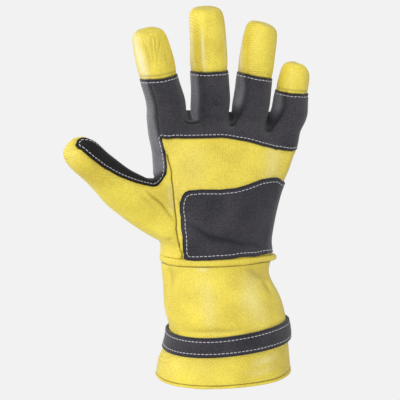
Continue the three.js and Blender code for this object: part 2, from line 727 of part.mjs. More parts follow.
// The welt is the roll of leather where the hand is sewn to the cuff. It swells towards the little finger's
// side.
function buildWelt() {
  const rings = turns(cuffSteps).map((turn) => {
    const foot = cuffPoint(cuffHeight, turn);
    const out = new THREE.Vector3(Math.cos(turn), -Math.sin(turn), 0);
    const swell = weltSwell + weltBulge * Math.max(0, Math.cos(turn)) ** 3;
    const section = [
      [-leatherWall, 0],
      [-leatherWall, 1],
      [0, 1],
      [0.75 * swell, 0.88],
      [swell, 0.5],
      [0.75 * swell, 0.12],
      [0, 0],
    ];
    return section.map(([reach, share]) => {
      const p = foot.clone().addScaledVector(out, reach);
      p.z += seamGap + weltHeight * share;
      return p;
    });
  });
  return ringBody(rings);
}

// The heel patch lies on the palm panel. Its skin is cut to an outline seen from the palm side.
const wasm = await Module();
wasm.setup();
function solidOf(geometry) {
  const bare = geometry.clone();
  bare.deleteAttribute("normal");
  bare.deleteAttribute("uv");
  const merged = mergeVertices(bare, 1e-4);
  return new wasm.Manifold(
    new wasm.Mesh({
      numProp: 3,
      vertProperties: merged.attributes.position.array,
      triVerts: new Uint32Array(merged.index.array),
    }),
  );
}
function geometryOf(solid) {
  const { vertProperties, triVerts } = solid.getMesh();
  const geometry = new THREE.BufferGeometry();
  geometry.setAttribute("position", new THREE.BufferAttribute(new Float32Array(vertProperties), 3));
  geometry.setIndex(new THREE.BufferAttribute(new Uint32Array(triVerts), 1));
  return geometry;
}
function buildPatch() {
  const left = wristShift - wristWidth / 2 + patchInset;
  const right = knuckleShift + knuckleWidth / 2;
  const foot = wristZ + patchFoot;
  const head = foot + patchHeight;
  const top = patchTop.map(({ across, rise }) => new THREE.Vector2(lerp(left, right, across), head + rise));
  const outline = new THREE.Shape();
  outline.moveTo(left + 2, foot);
  outline.lineTo(right, foot);
  outline.lineTo(right, top[0].y);
  outline.splineThru([...top.slice(1), new THREE.Vector2(left + patchCorner, head)]);
  outline.quadraticCurveTo(left, head, left - 1, head - patchCorner * 1.4);
  outline.lineTo(left + 2, foot);
  const block = new THREE.ExtrudeGeometry(outline, {
    depth: palmDepth + wristDepth,
    bevelEnabled: false,
    curveSegments: 5,
  });
  block.rotateX(Math.PI / 2);
  const skin = faces.filter(({ panel }) => panel === "palm_panel");
  const layer = thicken(skin, seamGap, seamGap + patchWall, seamGap / 2);
  return geometryOf(solidOf(layer).intersect(solidOf(block)));
}

function leather(color, roughness = 0.62) {
  return new THREE.MeshStandardMaterial({ color, roughness, metalness: 0 });
}
const yellow = leather(0xe6d452);
const grey = leather(0x4a484e, 0.8);
const black = leather(0x2b2a30, 0.8);

const glove = new THREE.Group();
glove.name = "firefighter_glove";
function addPiece(name, geometry, material) {
  const mesh = new THREE.Mesh(geometry, material);
  mesh.name = name;
  glove.add(mesh);
}
const panelMaterials = {
  palm_panel: yellow,
  back_panel: yellow,
  thumb_shell: yellow,
  finger_front_panel: grey,
  finger_back_panel: grey,
  index_side_panel: grey,
  little_side_panel: grey,
  thumb_strip: black,
};
gapNames.forEach((name) => (panelMaterials[name] = grey));
fingers.forEach(({ name }) => (panelMaterials[`${name}_tip_cap`] = yellow));
for (const [name, material] of Object.entries(panelMaterials)) {
  const chosen = faces.filter(({ panel }) => panel === name);
  addPiece(name, thicken(chosen, -leatherWall, 0, seamGap / 2), material);
}
addPiece("heel_patch", buildPatch(), grey);
addPiece("wrist_welt", buildWelt(), yellow);
addPiece("cuff", buildCuff(), yellow);
addPiece("cuff_hem", buildHem(), yellow);
addPiece("cuff_strap", buildStrap(), grey);

export default glove;
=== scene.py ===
# A firefighter's left-hand leather glove, filled out as if worn. The outer skins of the CAD solids are sewn back
# into one smooth surface, which gets seams, creases, stitches and grain, and is cut into its panels again.
import json
import math

import bmesh
import bpy
import numpy as np
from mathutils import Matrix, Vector, noise
from mathutils.bvhtree import BVHTree
from mathutils.kdtree import KDTree

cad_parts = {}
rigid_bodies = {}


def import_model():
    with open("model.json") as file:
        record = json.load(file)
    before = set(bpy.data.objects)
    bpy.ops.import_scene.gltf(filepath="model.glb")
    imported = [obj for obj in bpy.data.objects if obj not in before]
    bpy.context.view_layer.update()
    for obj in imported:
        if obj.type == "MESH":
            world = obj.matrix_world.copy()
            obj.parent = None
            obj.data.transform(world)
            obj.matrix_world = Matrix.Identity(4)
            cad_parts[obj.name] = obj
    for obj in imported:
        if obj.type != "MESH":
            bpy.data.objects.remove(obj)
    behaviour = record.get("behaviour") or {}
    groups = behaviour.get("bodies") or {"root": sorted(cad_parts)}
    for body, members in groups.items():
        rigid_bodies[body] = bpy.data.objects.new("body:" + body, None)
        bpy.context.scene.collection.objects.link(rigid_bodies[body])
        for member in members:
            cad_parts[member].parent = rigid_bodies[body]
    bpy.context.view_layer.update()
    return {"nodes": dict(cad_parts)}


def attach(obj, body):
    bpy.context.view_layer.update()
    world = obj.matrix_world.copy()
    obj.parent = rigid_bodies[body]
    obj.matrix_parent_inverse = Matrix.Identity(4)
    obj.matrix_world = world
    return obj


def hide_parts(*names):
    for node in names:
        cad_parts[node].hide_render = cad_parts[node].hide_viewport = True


for thing in list(bpy.data.objects):
    bpy.data.objects.remove(thing)
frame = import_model()
nodes = frame["nodes"]
mm = 0.001
panelWall = 2.0 * mm  # of the hand's panels in the CAD: the edges of their rims are this long
panelGap = 0.6 * mm  # more than the CAD leaves between two panels, so that they are sewn together
sameSpot = 0.02 * mm
farAway = 0.03  # metres from any seam, as good as none

tubeNames = ["cuff", "wrist_welt", "cuff_hem", "cuff_strap"]
panelNames = [name for name in nodes if name not in tubeNames + ["heel_patch"]]
capNames = [name for name in panelNames if name.endswith("_tip_cap")]
gussetNames = [name for name in panelNames if name.endswith("_gusset")]
sideNames = ["index_side_panel", "little_side_panel"] + gussetNames
greyNames = ["finger_front_panel", "finger_back_panel"] + sideNames


def toLinear(code):
    values = [int(code[i : i + 2], 16) / 255 for i in (1, 3, 5)]
    return tuple(v / 12.92 if v <= 0.04045 else ((v + 0.055) / 1.055) ** 2.4 for v in values) + (1.0,)


def meshArrays(mesh):
    points = np.empty(len(mesh.vertices) * 3)
    mesh.vertices.foreach_get("co", points)
    normals = np.empty(len(mesh.vertices) * 3)
    mesh.vertex_normals.foreach_get("vector", normals)
    return points.reshape(-1, 3), normals.reshape(-1, 3)


def treeOf(points):
    tree = KDTree(len(points))
    for i, point in enumerate(points):
        tree.insert(point, i)
    tree.balance()
    return tree


def distances(points, targets, reach=farAway):
    if len(targets) == 0:
        return np.full(len(points), reach)
    tree = treeOf(targets)
    return np.array([min(reach, tree.find(point)[2]) for point in points])


def bump(distance, width):
    return np.exp(-((distance / width) ** 2))


# A row of stitches pulls the leather in along its line, in mm
grooveLook = {"depth": 0.25, "width": 0.7}


def stitchGroove(away):
    return grooveLook["depth"] * mm * bump(away, grooveLook["width"] * mm)


def fractal(points, size, octaves=2):
    total = np.zeros(len(points))
    for octave in range(octaves):
        scale = 2**octave / size
        total += np.array([noise.noise(Vector(p) * scale) for p in points]) / 2**octave
    return total


def nodeBmesh(name):
    mesh = bmesh.new()
    mesh.from_mesh(nodes[name].data)
    bmesh.ops.remove_doubles(mesh, verts=mesh.verts, dist=sameSpot)
    mesh.faces.index_update()
    mesh.normal_update()
    return mesh


def connectedGroups(faces, sharpest=math.pi):
    left = set(faces)
    groups = []
    while left:
        stack = [left.pop()]
        group = list(stack)
        while stack:
            for edge in stack.pop().edges:
                if edge.calc_face_angle(0) > sharpest:
                    continue
                for other in edge.link_faces:
                    if other in left:
                        left.discard(other)
                        group.append(other)
                        stack.append(other)
        groups.append(group)
    return groups


def subdivided(mesh, levels):
    thing = bpy.data.objects.new("cage", mesh)
    bpy.context.collection.objects.link(thing)
    modifier = thing.modifiers.new("smooth", "SUBSURF")
    modifier.levels = levels
    modifier.boundary_smooth = "PRESERVE_CORNERS"
    result = bpy.data.meshes.new_from_object(thing.evaluated_get(bpy.context.evaluated_depsgraph_get()))
    bpy.data.objects.remove(thing)
    return result


# Subdivides a cage so that the smooth surface still passes through the cage's own points
def smoothSurface(cage, levels):
    mesh = bpy.data.meshes.new("cage")
    cage.to_mesh(mesh)
    wanted, _ = meshArrays(mesh)
    points = wanted.copy()
    for _ in range(3):  # a few rounds come close enough
        mesh.vertices.foreach_set("co", points.ravel())
        mesh.update()
        reached, _ = meshArrays(subdivided(mesh, 1))
        points += 0.8 * (wanted - reached[: len(points)])
    mesh.vertices.foreach_set("co", points.ravel())
    mesh.update()
    return subdivided(mesh, levels)


# The walls of all nodes, to tell a panel's outer face from its inner one: a ray that leaves the glove from an outer
# face crosses whole fingers, four faces each, and one that starts in the hollow crosses two faces more.
def wallTree():
    points, triangles = [], []
    for node in nodes.values():
        start = len(points)
        points += [v.co.copy() for v in node.data.vertices]
        triangles += [[start + v for v in p.vertices] for p in node.data.polygons]
    return BVHTree.FromPolygons(points, triangles)


walls = wallTree()


def isOutside(face):
    point = face.calc_center_median() + face.normal * 0.1 * mm
    count = 0
    while count < 40:
        hit = walls.ray_cast(point, face.normal)[0]
        if hit is None:
            break
        count += 1
        point = hit + face.normal * 0.005 * mm
    return count % 4 == 0


# A panel's outer face is what is left without its rim, whose edges run straight through the wall
def outerSheet(mesh):
    rim = set()
    for edge in mesh.edges:
        if abs(edge.calc_length() - panelWall) < 0.012 * mm:
            a, b = edge.verts
            along = (b.co - a.co).normalized()
            if max(abs(along.dot(a.normal)), abs(along.dot(b.normal))) > 0.2:
                rim.update(edge.link_faces)
    groups = connectedGroups(set(mesh.faces) - rim)
    groups = sorted(groups, key=lambda g: -sum(f.calc_area() for f in g))[:2]
    outer = max(groups, key=lambda g: sum(isOutside(f) for f in g) / len(g))
    return sorted(outer, key=lambda f: f.index)  # a set has no order of its own, and the sewing depends on it


# A ring's outer face is what looks away from the middle of the cuff
def ringOutside(mesh):
    middle = sum((v.co for v in mesh.verts), Vector()) / len(mesh.verts)
    level = Vector((1, 1, 0))
    return [f for f in mesh.faces if f.normal.dot(((f.calc_center_median() - middle) * level).normalized()) > 0.5]


# The outer faces of some nodes, sewn together and made four-sided again
def outerCage(names, pickOuter, sewReach):
    cage = bmesh.new()
    for index, name in enumerate(names):
        mesh = nodeBmesh(name)
        for face in pickOuter(mesh):
            copy = cage.faces.new([cage.verts.new(v.co) for v in face.verts])
            copy.material_index = index
        mesh.free()
    bmesh.ops.remove_doubles(cage, verts=cage.verts, dist=sewReach)
    return foursided(cage)


# A four-sided face was split across its diagonal, the longest edge of both halves
def foursided(cage):
    longest = {f: max(f.edges, key=lambda e: e.calc_length()) for f in cage.faces}
    halves = [e for e in cage.edges if len(e.link_faces) == 2 and all(longest[f] is e for f in e.link_faces)]
    halves = [e for e in halves if e.link_faces[0].material_index == e.link_faces[1].material_index]
    bmesh.ops.dissolve_edges(cage, edges=halves, use_verts=False)
    bmesh.ops.join_triangles(
        cage,
        faces=[f for f in cage.faces if len(f.verts) == 3],
        cmp_materials=True,
        angle_face_threshold=math.pi,
        angle_shape_threshold=math.pi,
    )
    return cage


def skinArrays(skin):
    points, normals = meshArrays(skin)
    quads = np.empty(len(skin.polygons) * 4, dtype=np.int64)
    skin.polygons.foreach_get("vertices", quads)
    panel = np.empty(len(skin.polygons), dtype=np.int64)
    skin.polygons.foreach_get("material_index", panel)
    return points, normals, quads.reshape(-1, 4), panel


def borderEdges(quads):
    ends = np.stack([quads, np.roll(quads, -1, axis=1)], axis=2).reshape(-1, 2)
    count = quads.max() + 1
    there = ends[:, 0] * count + ends[:, 1]
    back = ends[:, 1] * count + ends[:, 0]
    return ends[~np.isin(there, back)]


# Normals of a changed surface
def surfaceNormals(points, quads):
    corners = points[quads]
    faceNormals = np.cross(corners[:, 2] - corners[:, 0], corners[:, 3] - corners[:, 1])
    total = np.zeros_like(points)
    for column in range(4):
        np.add.at(total, quads[:, column], faceNormals)
    return total / np.maximum(np.linalg.norm(total, axis=1, keepdims=True), 1e-12)


# Gives part of a surface its thickness and a rounded cut edge, and keeps its attributes. Where hidden is 1 the edge
# is cut so close that it doesn't show against its neighbour.
def thickPiece(name, points, normals, quads, thickness, radius, attributes, hidden=None):
    used, local = np.unique(quads, return_inverse=True)
    faces = local.reshape(-1, 4)
    outer, up = points[used].copy(), normals[used]
    border = borderEdges(faces)
    rim = np.unique(border)
    centres = outer[faces].mean(axis=1)
    total, count = np.zeros_like(outer), np.zeros(len(outer))
    for column in range(4):
        np.add.at(total, faces[:, column], centres)
        np.add.at(count, faces[:, column], 1)
    pull = total[rim] / count[rim, None] - outer[rim]
    pull -= (pull * up[rim]).sum(axis=1, keepdims=True) * up[rim]
    pull /= np.maximum(np.linalg.norm(pull, axis=1, keepdims=True), 1e-12)
    shut = np.zeros(len(rim)) if hidden is None else hidden[used][rim]
    reach = (radius * mm * (1 - 0.9 * shut))[:, None]
    edge = outer[rim] - up[rim] * reach
    inner = outer - up * thickness * mm
    outer[rim] += pull * reach
    size, ringAt = len(outer), np.zeros(len(outer), dtype=np.int64)
    ringAt[rim] = size + np.arange(len(rim))
    innerAt = size + len(rim)
    a, b = border[:, 0], border[:, 1]
    everything = np.concatenate(
        [
            faces,
            np.stack([b, a, ringAt[a], ringAt[b]], axis=1),
            np.stack([ringAt[b], ringAt[a], innerAt + a, innerAt + b], axis=1),
            faces[:, ::-1] + innerAt,
        ]
    )
    allPoints = np.concatenate([outer, edge, inner])
    mesh = bpy.data.meshes.new(name)
    mesh.from_pydata(allPoints.tolist(), [], everything.tolist())
    mesh.polygons.foreach_set("use_smooth", np.ones(len(everything), dtype=bool))
    if shut.any():
        shutAt = np.zeros(len(allPoints))
        shutAt[rim] = shut
        ends = np.empty(len(mesh.edges) * 2, dtype=np.int64)
        mesh.edges.foreach_get("vertices", ends)
        ends = np.sort(ends.reshape(-1, 2), axis=1)
        count = len(allPoints)
        onBorder = np.isin(ends[:, 0] * count + ends[:, 1], np.minimum(a, b) * count + np.maximum(a, b))
        sharp = mesh.attributes.new("sharp_edge", "BOOLEAN", "EDGE")
        sharp.data.foreach_set("value", onBorder & (shutAt[ends].min(axis=1) > 0.5))
    for key, values in attributes.items():
        kept = values[used]
        layer = mesh.attributes.new(key, "FLOAT", "POINT")
        layer.data.foreach_set("value", np.concatenate([kept, kept[rim], kept]))
    mesh.update()
    piece = bpy.data.objects.new(name, mesh)
    bpy.context.collection.objects.link(piece)
    return piece


# The photo's camera, which also places the creases. Its target and distance are in metres.
photoSize = 400
photoView = {
    "azimuth": -17,
    "elevation": 8,
    "distance": 0.85,
    "target": (-0.020, 0.0, 0.1376),
    "lens": 100,
    "sensor": 36,
}


def viewAxes(azimuth, elevation):
    a, e = math.radians(azimuth), math.radians(elevation)
    back = Vector((math.sin(a) * math.cos(e), -math.cos(a) * math.cos(e), math.sin(e)))
    right = Vector((math.cos(a), math.sin(a), 0))
    return right, right.cross(-back), back


def photoRay(x, y):
    right, up, back = viewAxes(photoView["azimuth"], photoView["elevation"])
    start = Vector(photoView["target"]) + back * photoView["distance"]
    spread = photoView["sensor"] / photoView["lens"] / photoSize
    return start, (-back + right * (x - photoSize / 2) * spread + up * (photoSize / 2 - y) * spread).normalized()


# Points along a line seen in the photo, laid on a surface, each with its share of the line's depth
def lineOnSurface(pixels, surface):
    lengths = [math.dist(a, b) for a, b in zip(pixels, pixels[1:])]
    marks, shares, gone = [], [], 0.0
    for (x0, y0), (x1, y1), length in zip(pixels, pixels[1:], lengths):
        steps = max(2, int(length * 1.5))
        for step in range(steps):
            t = step / steps
            hit = surface.ray_cast(*photoRay(x0 + t * (x1 - x0), y0 + t * (y1 - y0)))[0]
            if hit:
                marks.append(hit)
                shares.append(math.sin(math.pi * (gone + t * length) / sum(lengths)) ** 0.7)
        gone += length
    return marks, np.array(shares)


# How much lower the creases make a surface, and how strongly each point is painted darker as the creases' shade,
# from 0 to 1
def creaseField(points, quads, creases):
    surface = BVHTree.FromPolygons(points.tolist(), quads.tolist())
    depth, shade = np.zeros(len(points)), np.zeros(len(points))
    for crease in creases:
        marks, shares = lineOnSurface(crease["line"], surface)
        if not marks:
            continue
        tree = treeOf(marks)
        found = [tree.find(point)[1:] for point in points]
        away = np.array([f[1] for f in found])
        share = shares[[f[0] for f in found]]
        width = crease["width"] * mm
        depth -= crease["depth"] * mm * share * (bump(away, width) - 0.45 * bump(away - 2.1 * width, width))
        shade = np.maximum(shade, share * bump(away, 0.6 * width) * min(1.0, crease["depth"]))
    return depth * handLook["creaseStrength"], shade


# Broad streaks, faded out at both ends, from 0 to their strength
def streakField(points, quads, streaks):
    lines = [{"line": s["line"], "width": s["width"] / 0.6, "depth": s["strength"]} for s in streaks]
    return creaseField(points, quads, lines)[1]


# What a user may change on the hand, in mm unless a note says otherwise
handLook = {
    "wall": 2.0,  # thickness of the leather
    "edgeRadius": 0.35,  # of the cut edges
    "seamDepth": 0.8,  # how deep the turned seams sink
    "seamWidth": 1.5,
    "lapLift": 0.55,  # how proud the grey leather lies on the yellow
    "lapReach": 8.0,  # and how far from its edge it comes down again
    "puff": 0.5,  # how full the leather stands between its seams
    "puffReach": 7.0,  # how far a seam holds the leather down
    "unevenness": 0.4,  # slow waves of the worn shape
    "creaseStrength": 1.0,  # a factor
    "stitchInset": 2.1,  # from a lapped edge to its stitches
    "hemOnCaps": 2.4,  # from the grey leather to the crease round each fingertip
    "hemDepth": 0.45,
    "hemWidth": 0.6,
    "needleLine": 1.9,  # from the grey leather to the faint line of needle holes in the yellow
    "pucker": 0.22,  # gathers beside the lapped seams
    "cornerRounding": 0.85,  # a share, of the corners of the seams
    "pocketShade": 8.0,  # how high the painted shadow at the foot of the last two gaps reaches
}

# Where the hand's yellow is painted paler as sheen and highlights: pixels of the photo, width in mm and strength
handSheenStreaks = [
    {"line": [(273, 136), (274, 150), (272.5, 168), (268, 190)], "width": 7.0, "strength": 0.3},
    {"line": [(196, 140), (196, 160), (195, 188)], "width": 7.0, "strength": 0.1},
    {"line": [(133.5, 30), (136, 46), (141, 62), (147, 88)], "width": 4.2, "strength": 1.0},
    {"line": [(190, 14), (191, 28), (192, 48), (193.5, 78)], "width": 2.6, "strength": 0.7},
    {"line": [(201, 26), (203, 48), (204.5, 78)], "width": 1.4, "strength": 0.6},
    {"line": [(222, 24), (224, 45), (226, 76)], "width": 1.6, "strength": 0.5},
    {"line": [(243.5, 26), (242, 45), (239.5, 80)], "width": 2.2, "strength": 0.9},
    {"line": [(70, 142), (71, 155), (75, 172)], "width": 4.0, "strength": 0.1},
    {"line": [(168.5, 180), (170.5, 195), (172, 214)], "width": 2.6, "strength": 0.35},
]
# Where it is painted darker as shade, most strongly on the middle cap's left side beside the index finger: pixels
# of the photo, width in mm and strength
handShadeStreaks = [
    {"line": [(196, 16), (196.5, 34), (197, 52), (198, 80)], "width": 3.0, "strength": 0.32},
    {"line": [(146, 28), (150, 45), (152, 62)], "width": 3.0, "strength": 0.14},
    {"line": [(150, 240), (160, 247), (176, 250)], "width": 5.0, "strength": 0.1},
]
# Creases of the hand, also painted darker as shade along their lines: pixels of the photo, width and depth in mm
handCreases = [
    {
        "line": [(145, 189), (151.8, 196), (158, 200.6), (163, 205), (167, 211), (172.6, 218), (175.5, 223)],
        "width": 1.4,
        "depth": 1.5,
    },
    {"line": [(176.3, 197), (179, 202), (182, 207.5)], "width": 1.0, "depth": 0.6},
    {"line": [(163, 238), (168, 240), (174, 238)], "width": 2.0, "depth": 0.5},
    {"line": [(139, 196), (147, 200), (152, 206)], "width": 2.0, "depth": 0.35},
    {"line": [(141.5, 37), (144.6, 44), (149, 56), (151, 69)], "width": 0.7, "depth": 0.42},
    {"line": [(149.5, 33), (151.6, 40), (152.2, 50), (154.3, 66)], "width": 0.7, "depth": 0.42},
    {"line": [(153.6, 31), (156, 42.4), (155.5, 56)], "width": 0.7, "depth": 0.42},
    {"line": [(162, 36), (160, 44), (158, 53), (156.6, 69)], "width": 0.7, "depth": 0.42},
    {"line": [(165, 50), (166.5, 60), (168.5, 70)], "width": 0.7, "depth": 0.4},
    {"line": [(138.5, 31.5), (146, 29.6), (158, 26.5)], "width": 0.8, "depth": 0.5},
    {"line": [(144, 37), (149, 32.5), (157, 30)], "width": 0.8, "depth": 0.4},
    {"line": [(147, 33), (154, 37), (163, 36)], "width": 0.7, "depth": 0.3},
    {"line": [(200.2, 22), (200, 45), (200.3, 68)], "width": 0.9, "depth": 0.3},
    {"line": [(206, 12), (204, 20), (203.4, 36), (203.2, 55), (203.6, 70)], "width": 2.2, "depth": -0.8},
    {"line": [(139, 33), (141.5, 42), (144.6, 54), (148, 66), (150.5, 75)], "width": 2.0, "depth": -0.7},
    {"line": [(247.5, 36), (247, 50), (246, 68)], "width": 1.0, "depth": 0.25},
]


# Where seams run a little beside their lines in the frame, by height and sideways shift in mm
seamSlides = [
    (
        "palm_panel",
        "thumb_shell",
        [(92, -5.4), (98, -4.6), (108, -1.9), (124, -0.4), (138, 0), (146, -0.6), (157, -2.2), (168, -3)],
    ),
    ("finger_front_panel", "middle_ring_gusset", [(196, -1.0), (206, 0.8), (222, 2.6), (236, 3.2)]),
    ("finger_front_panel", "ring_little_gusset", [(188, -1.2), (200, 1.2), (214, 2.8), (222, 3.0)]),
]
# Single corners of the seams, at the thumb's crotch and at the foot of the last two gussets: place and shift in mm
seamNudges = [
    ((-49.7, -14.2, 156.6), (-2.1, 1.0, 4.6)),
    ((-52.6, -16.0, 153.2), (-3.2, 1.0, 3.6)),
    ((-60.0, -19.5, 152.9), (0.8, 0.0, 0.2)),
    ((9.7, -8.4, 197.2), (-5.0, -0.3, -1.2)),
    ((10.8, -8.2, 202.8), (-1.4, 0.0, 0.0)),
    ((-2.4, -8.8, 197.2), (3.6, -0.3, -1.2)),
    ((39.4, -8.2, 192.0), (-5.0, -0.3, -0.8)),
    ((40.4, -7.8, 195.7), (-2.8, 0.0, 0.0)),
    ((28.2, -8.5, 192.0), (1.2, -0.3, -0.6)),
]
# Soft shifts of the form: centre, reach and shift in mm
formShifts = [
    ((-28.6, 4.5, 199.5), 11, (0, 0, 6.5)),
    ((3.8, 4.5, 198.5), 11, (0, 0, 5.5)),
    ((34.0, 4.5, 194.0), 12, (0, 0, 8.5)),
    ((-126.0, -16.0, 157.0), 36, (2.6, 0, 2.0)),
    ((-71.0, -12.0, 113.0), 24, (-1.2, 0, -1.4)),
    ((-72.0, -8.0, 161.0), 22, (0, 0, -3.2)),
    ((-63.0, -2.0, 190.0), 40, (1.5, 0, 0)),
    ((-60.0, -5.0, 99.0), 14, (1.6, 0, 0)),
    ((62.5, -5.0, 240.0), 10, (-2.4, 0, -1.8)),
    ((53.0, -4.0, 244.0), 10, (0, 0, -1.2)),
    ((32.0, -12.0, 276.0), 12, (-2.4, 0, -2.2)),
    ((-37.0, -10.0, 256.0), 24, (2.4, 0, 0)),
    ((-20.0, -12.0, 292.0), 20, (0, 0, -1.3)),
    ((-48.0, -12.0, 254.0), 18, (-2.0, 0, 0.4)),
    ((-66.0, -12.0, 275.0), 14, (0, 0, 1.3)),
]


# Moves points of the seams along the surface of the cage
def shiftSeams(cage, surface):
    for first, second, table in seamSlides:
        both = {panelNames.index(first), panelNames.index(second)}
        heights, shifts = zip(*table)
        for vert in cage.verts:
            if {f.material_index for f in vert.link_faces} == both and vert.normal.y < -0.1:
                shift = Vector((np.interp(vert.co.z / mm, heights, shifts) * mm, 0, 0))
                vert.co = surface.find_nearest(vert.co + shift)[0]
    for place, shift in seamNudges:
        vert = min(cage.verts, key=lambda v: (v.co / mm - Vector(place)).length)
        vert.co = surface.find_nearest(vert.co + Vector(shift) * mm)[0]


# Rounds the corners of the seams: a corner moves to between its two neighbours on the seam
def roundCorners(cage, surface, share):
    moves = []
    for vert in cage.verts:
        counts = {}
        for face in vert.link_faces:
            counts[face.material_index] = counts.get(face.material_index, 0) + 1
        if sorted(counts.values()) == [1, 3]:
            seam = [e for e in vert.link_edges if len({f.material_index for f in e.link_faces}) > 1]
            if len(seam) == 2:
                between = (seam[0].other_vert(vert).co + seam[1].other_vert(vert).co) / 2
                moves.append((vert, surface.find_nearest(vert.co.lerp(between, share))[0]))
    for vert, place in moves:
        vert.co = place
    return len(moves)


# Pushes parts of the form a little, fading out with the distance
def shiftForm(cage):
    for centre, reach, shift in formShifts:
        for vert in cage.verts:
            far = (vert.co - Vector(centre) * mm).length / (reach * mm)
            if far < 1:
                vert.co += Vector(shift) * mm * (1 - far**2) ** 2


cage = outerCage(panelNames, outerSheet, panelGap)
cage.normal_update()
shiftForm(cage)
firstSkin = smoothSurface(cage, 2)
firstSurface = BVHTree.FromPolygons([v.co for v in firstSkin.vertices], [p.vertices for p in firstSkin.polygons])
shiftSeams(cage, firstSurface)
print("seam corners rounded:", roundCorners(cage, firstSurface, handLook["cornerRounding"]))
skin = smoothSurface(cage, 3)
points, normals, quads, panelOf = skinArrays(skin)
print("hand skin:", len(cage.faces), "faces of the cage,", len(quads), "smooth faces")

isGrey = np.array([name in greyNames + ["thumb_strip"] for name in panelNames])
isCap = np.array([name in capNames for name in panelNames])
touches = np.zeros((len(points), len(panelNames)), dtype=bool)
touches[quads.ravel(), np.repeat(panelOf, 4)] = True
onGrey = touches[:, isGrey].any(axis=1)
onYellow = touches[:, ~isGrey].any(axis=1)
lapPoints = onGrey & onYellow
turnedPoints = (touches[:, isGrey].sum(axis=1) > 1) | (touches[:, ~isGrey].sum(axis=1) > 1)
# The seams on the little finger's side of each finger hardly show: there the front lies smoothly over the edge
plainSeams = turnedPoints & onGrey & ~onYellow & (normals[:, 0] > 0.25) & (normals[:, 1] < 0.6)
lap = distances(points, points[lapPoints])
turned = distances(points, points[turnedPoints & ~plainSeams])
print("seams:", lapPoints.sum(), "points on laps,", turnedPoints.sum(), "on turned seams")

height = handLook["unevenness"] * mm * fractal(points, 0.03)
height += handLook["puff"] * mm * (0.6 - bump(np.minimum(lap, turned), handLook["puffReach"] * mm))
height -= handLook["seamDepth"] * mm * bump(turned, handLook["seamWidth"] * mm)
# The gathers beside a lapped seam run up and down, and stand 5 mm from it
gathers = fractal(points * np.array([1.0, 1.0, 0.3]), 0.0028, 1) * bump(lap - 5 * mm, 4 * mm)
height += handLook["pucker"] * mm * gathers * np.where(onGrey, 0.4, 1.0)
creaseDepth, crease = creaseField(points, quads, handCreases)
height += creaseDepth
# A hem crease round each fingertip: a groove in the yellow, also painted darker as shade
capHem = touches[:, isCap].any(axis=1) * bump(lap - handLook["hemOnCaps"] * mm, handLook["hemWidth"] * mm)
crease = np.maximum(crease, capHem)
yellowHeight = height - 0.25 * mm * bump(lap, 1.3 * mm) - handLook["hemDepth"] * mm * capHem
greyHeight = height + handLook["lapLift"] * mm * bump(lap, handLook["lapReach"] * mm)
greyHeight -= stitchGroove(lap - handLook["stitchInset"] * mm)
yellowSkin = points + normals * yellowHeight[:, None]
greySkin = points + normals * greyHeight[:, None]
yellowNormals = surfaceNormals(yellowSkin, quads)
greyNormals = surfaceNormals(greySkin, quads)
# Painted light: the grey is painted lighter where it faces the thumb and the side light, and more so towards the
# back
paintedLight = np.clip((-normals[:, 0] - 0.15) / 0.5, 0, 1) * np.clip(0.7 + points[:, 1] / (25 * mm), 0.5, 1)
# Painted shadow: the lower ends of the two last gaps are painted dark and lose their painted light
for name in ("middle_ring_gusset", "ring_little_gusset"):
    ofGap = touches[:, panelNames.index(name)]
    above = points[:, 2] - points[ofGap, 2].min()
    pocketShade = np.where(ofGap, np.clip(1 - (above / mm - handLook["pocketShade"]) / 9, 0, 1), 0)
    crease = np.maximum(crease, pocketShade)
    paintedLight *= 1 - pocketShade
paintedLight[touches[:, panelNames.index("ring_little_gusset")]] *= 0.5
# Paler streaks painted on the yellow as sheen and highlights, and darker ones painted on as shade
paintedSheen = streakField(points, quads, handSheenStreaks)
shadeStreaks = streakField(points, quads, handShadeStreaks)
# The painted shade on the grey sides of the fingers is darkest at their front seams: at the back their seam
# distance lies 3 mm further
ofSide = touches[:, [panelNames.index(name) for name in sideNames]].any(axis=1)
turned[ofSide & (points[:, 1] > mm)] += 3 * mm
# Colour attributes: the painted shade of creases, hems and the gaps' feet, and the painted light on the grey sides
attributes = {"lap": lap, "turned": turned, "crease": crease, "paintedLight": paintedLight}
needleLine = 0.3 * bump(lap - handLook["needleLine"] * mm, 0.5 * mm)
# The yellow's darkening: the painted shade, and the faint line of needle holes
yellowShadeAndNeedleLine = np.maximum.reduce([crease, needleLine, shadeStreaks])
yellowAttributes = {"lap": lap, "turned": turned + 0.2 * mm, "crease": yellowShadeAndNeedleLine, "paintedLight": paintedSheen}

pieces = {}
for index, name in enumerate(panelNames):
    piece = thickPiece(
        name.replace("_panel", "_leather") if name.endswith("_panel") else name + "_leather",
        greySkin if isGrey[index] else yellowSkin,
        normals,
        quads[panelOf == index],
        handLook["wall"],
        handLook["edgeRadius"],
        attributes if isGrey[index] else yellowAttributes,
        plainSeams.astype(float),
    )
    pieces[name] = piece
print("hand panels:", len(pieces))


# The heel patch, laid on the palm inside the outline of its node, in mm
patchLook = {
    "wall": 1.5,
    "gap": 0.3,  # to the yellow leather under it
    "edgeRadius": 0.35,
    "inset": 3.2,  # from the edge to its stitches
    "puff": 0.3,
    "ragged": 0.7,  # how unevenly the edge was cut
    "seed": 4,
}
# Its lower corner by the thumb lies a little further out than in the frame: place, reach and shift in mm
patchCorner = {"place": (-36.5, 92.0), "reach": 34, "shift": (-0.7, -1.3)}
# Creases of the patch, also painted darker as shade: pixels of the photo, width and depth in mm
patchCreases = [
    {"line": [(186, 222), (197, 229), (208, 236), (221, 239), (242, 244), (262, 246)], "width": 2.8, "depth": 1.2},
    {"line": [(200, 233), (212, 240), (228, 244)], "width": 2.4, "depth": 0.7},
    {"line": [(243, 240), (252, 243.5), (263, 250)], "width": 1.6, "depth": 0.5},
]


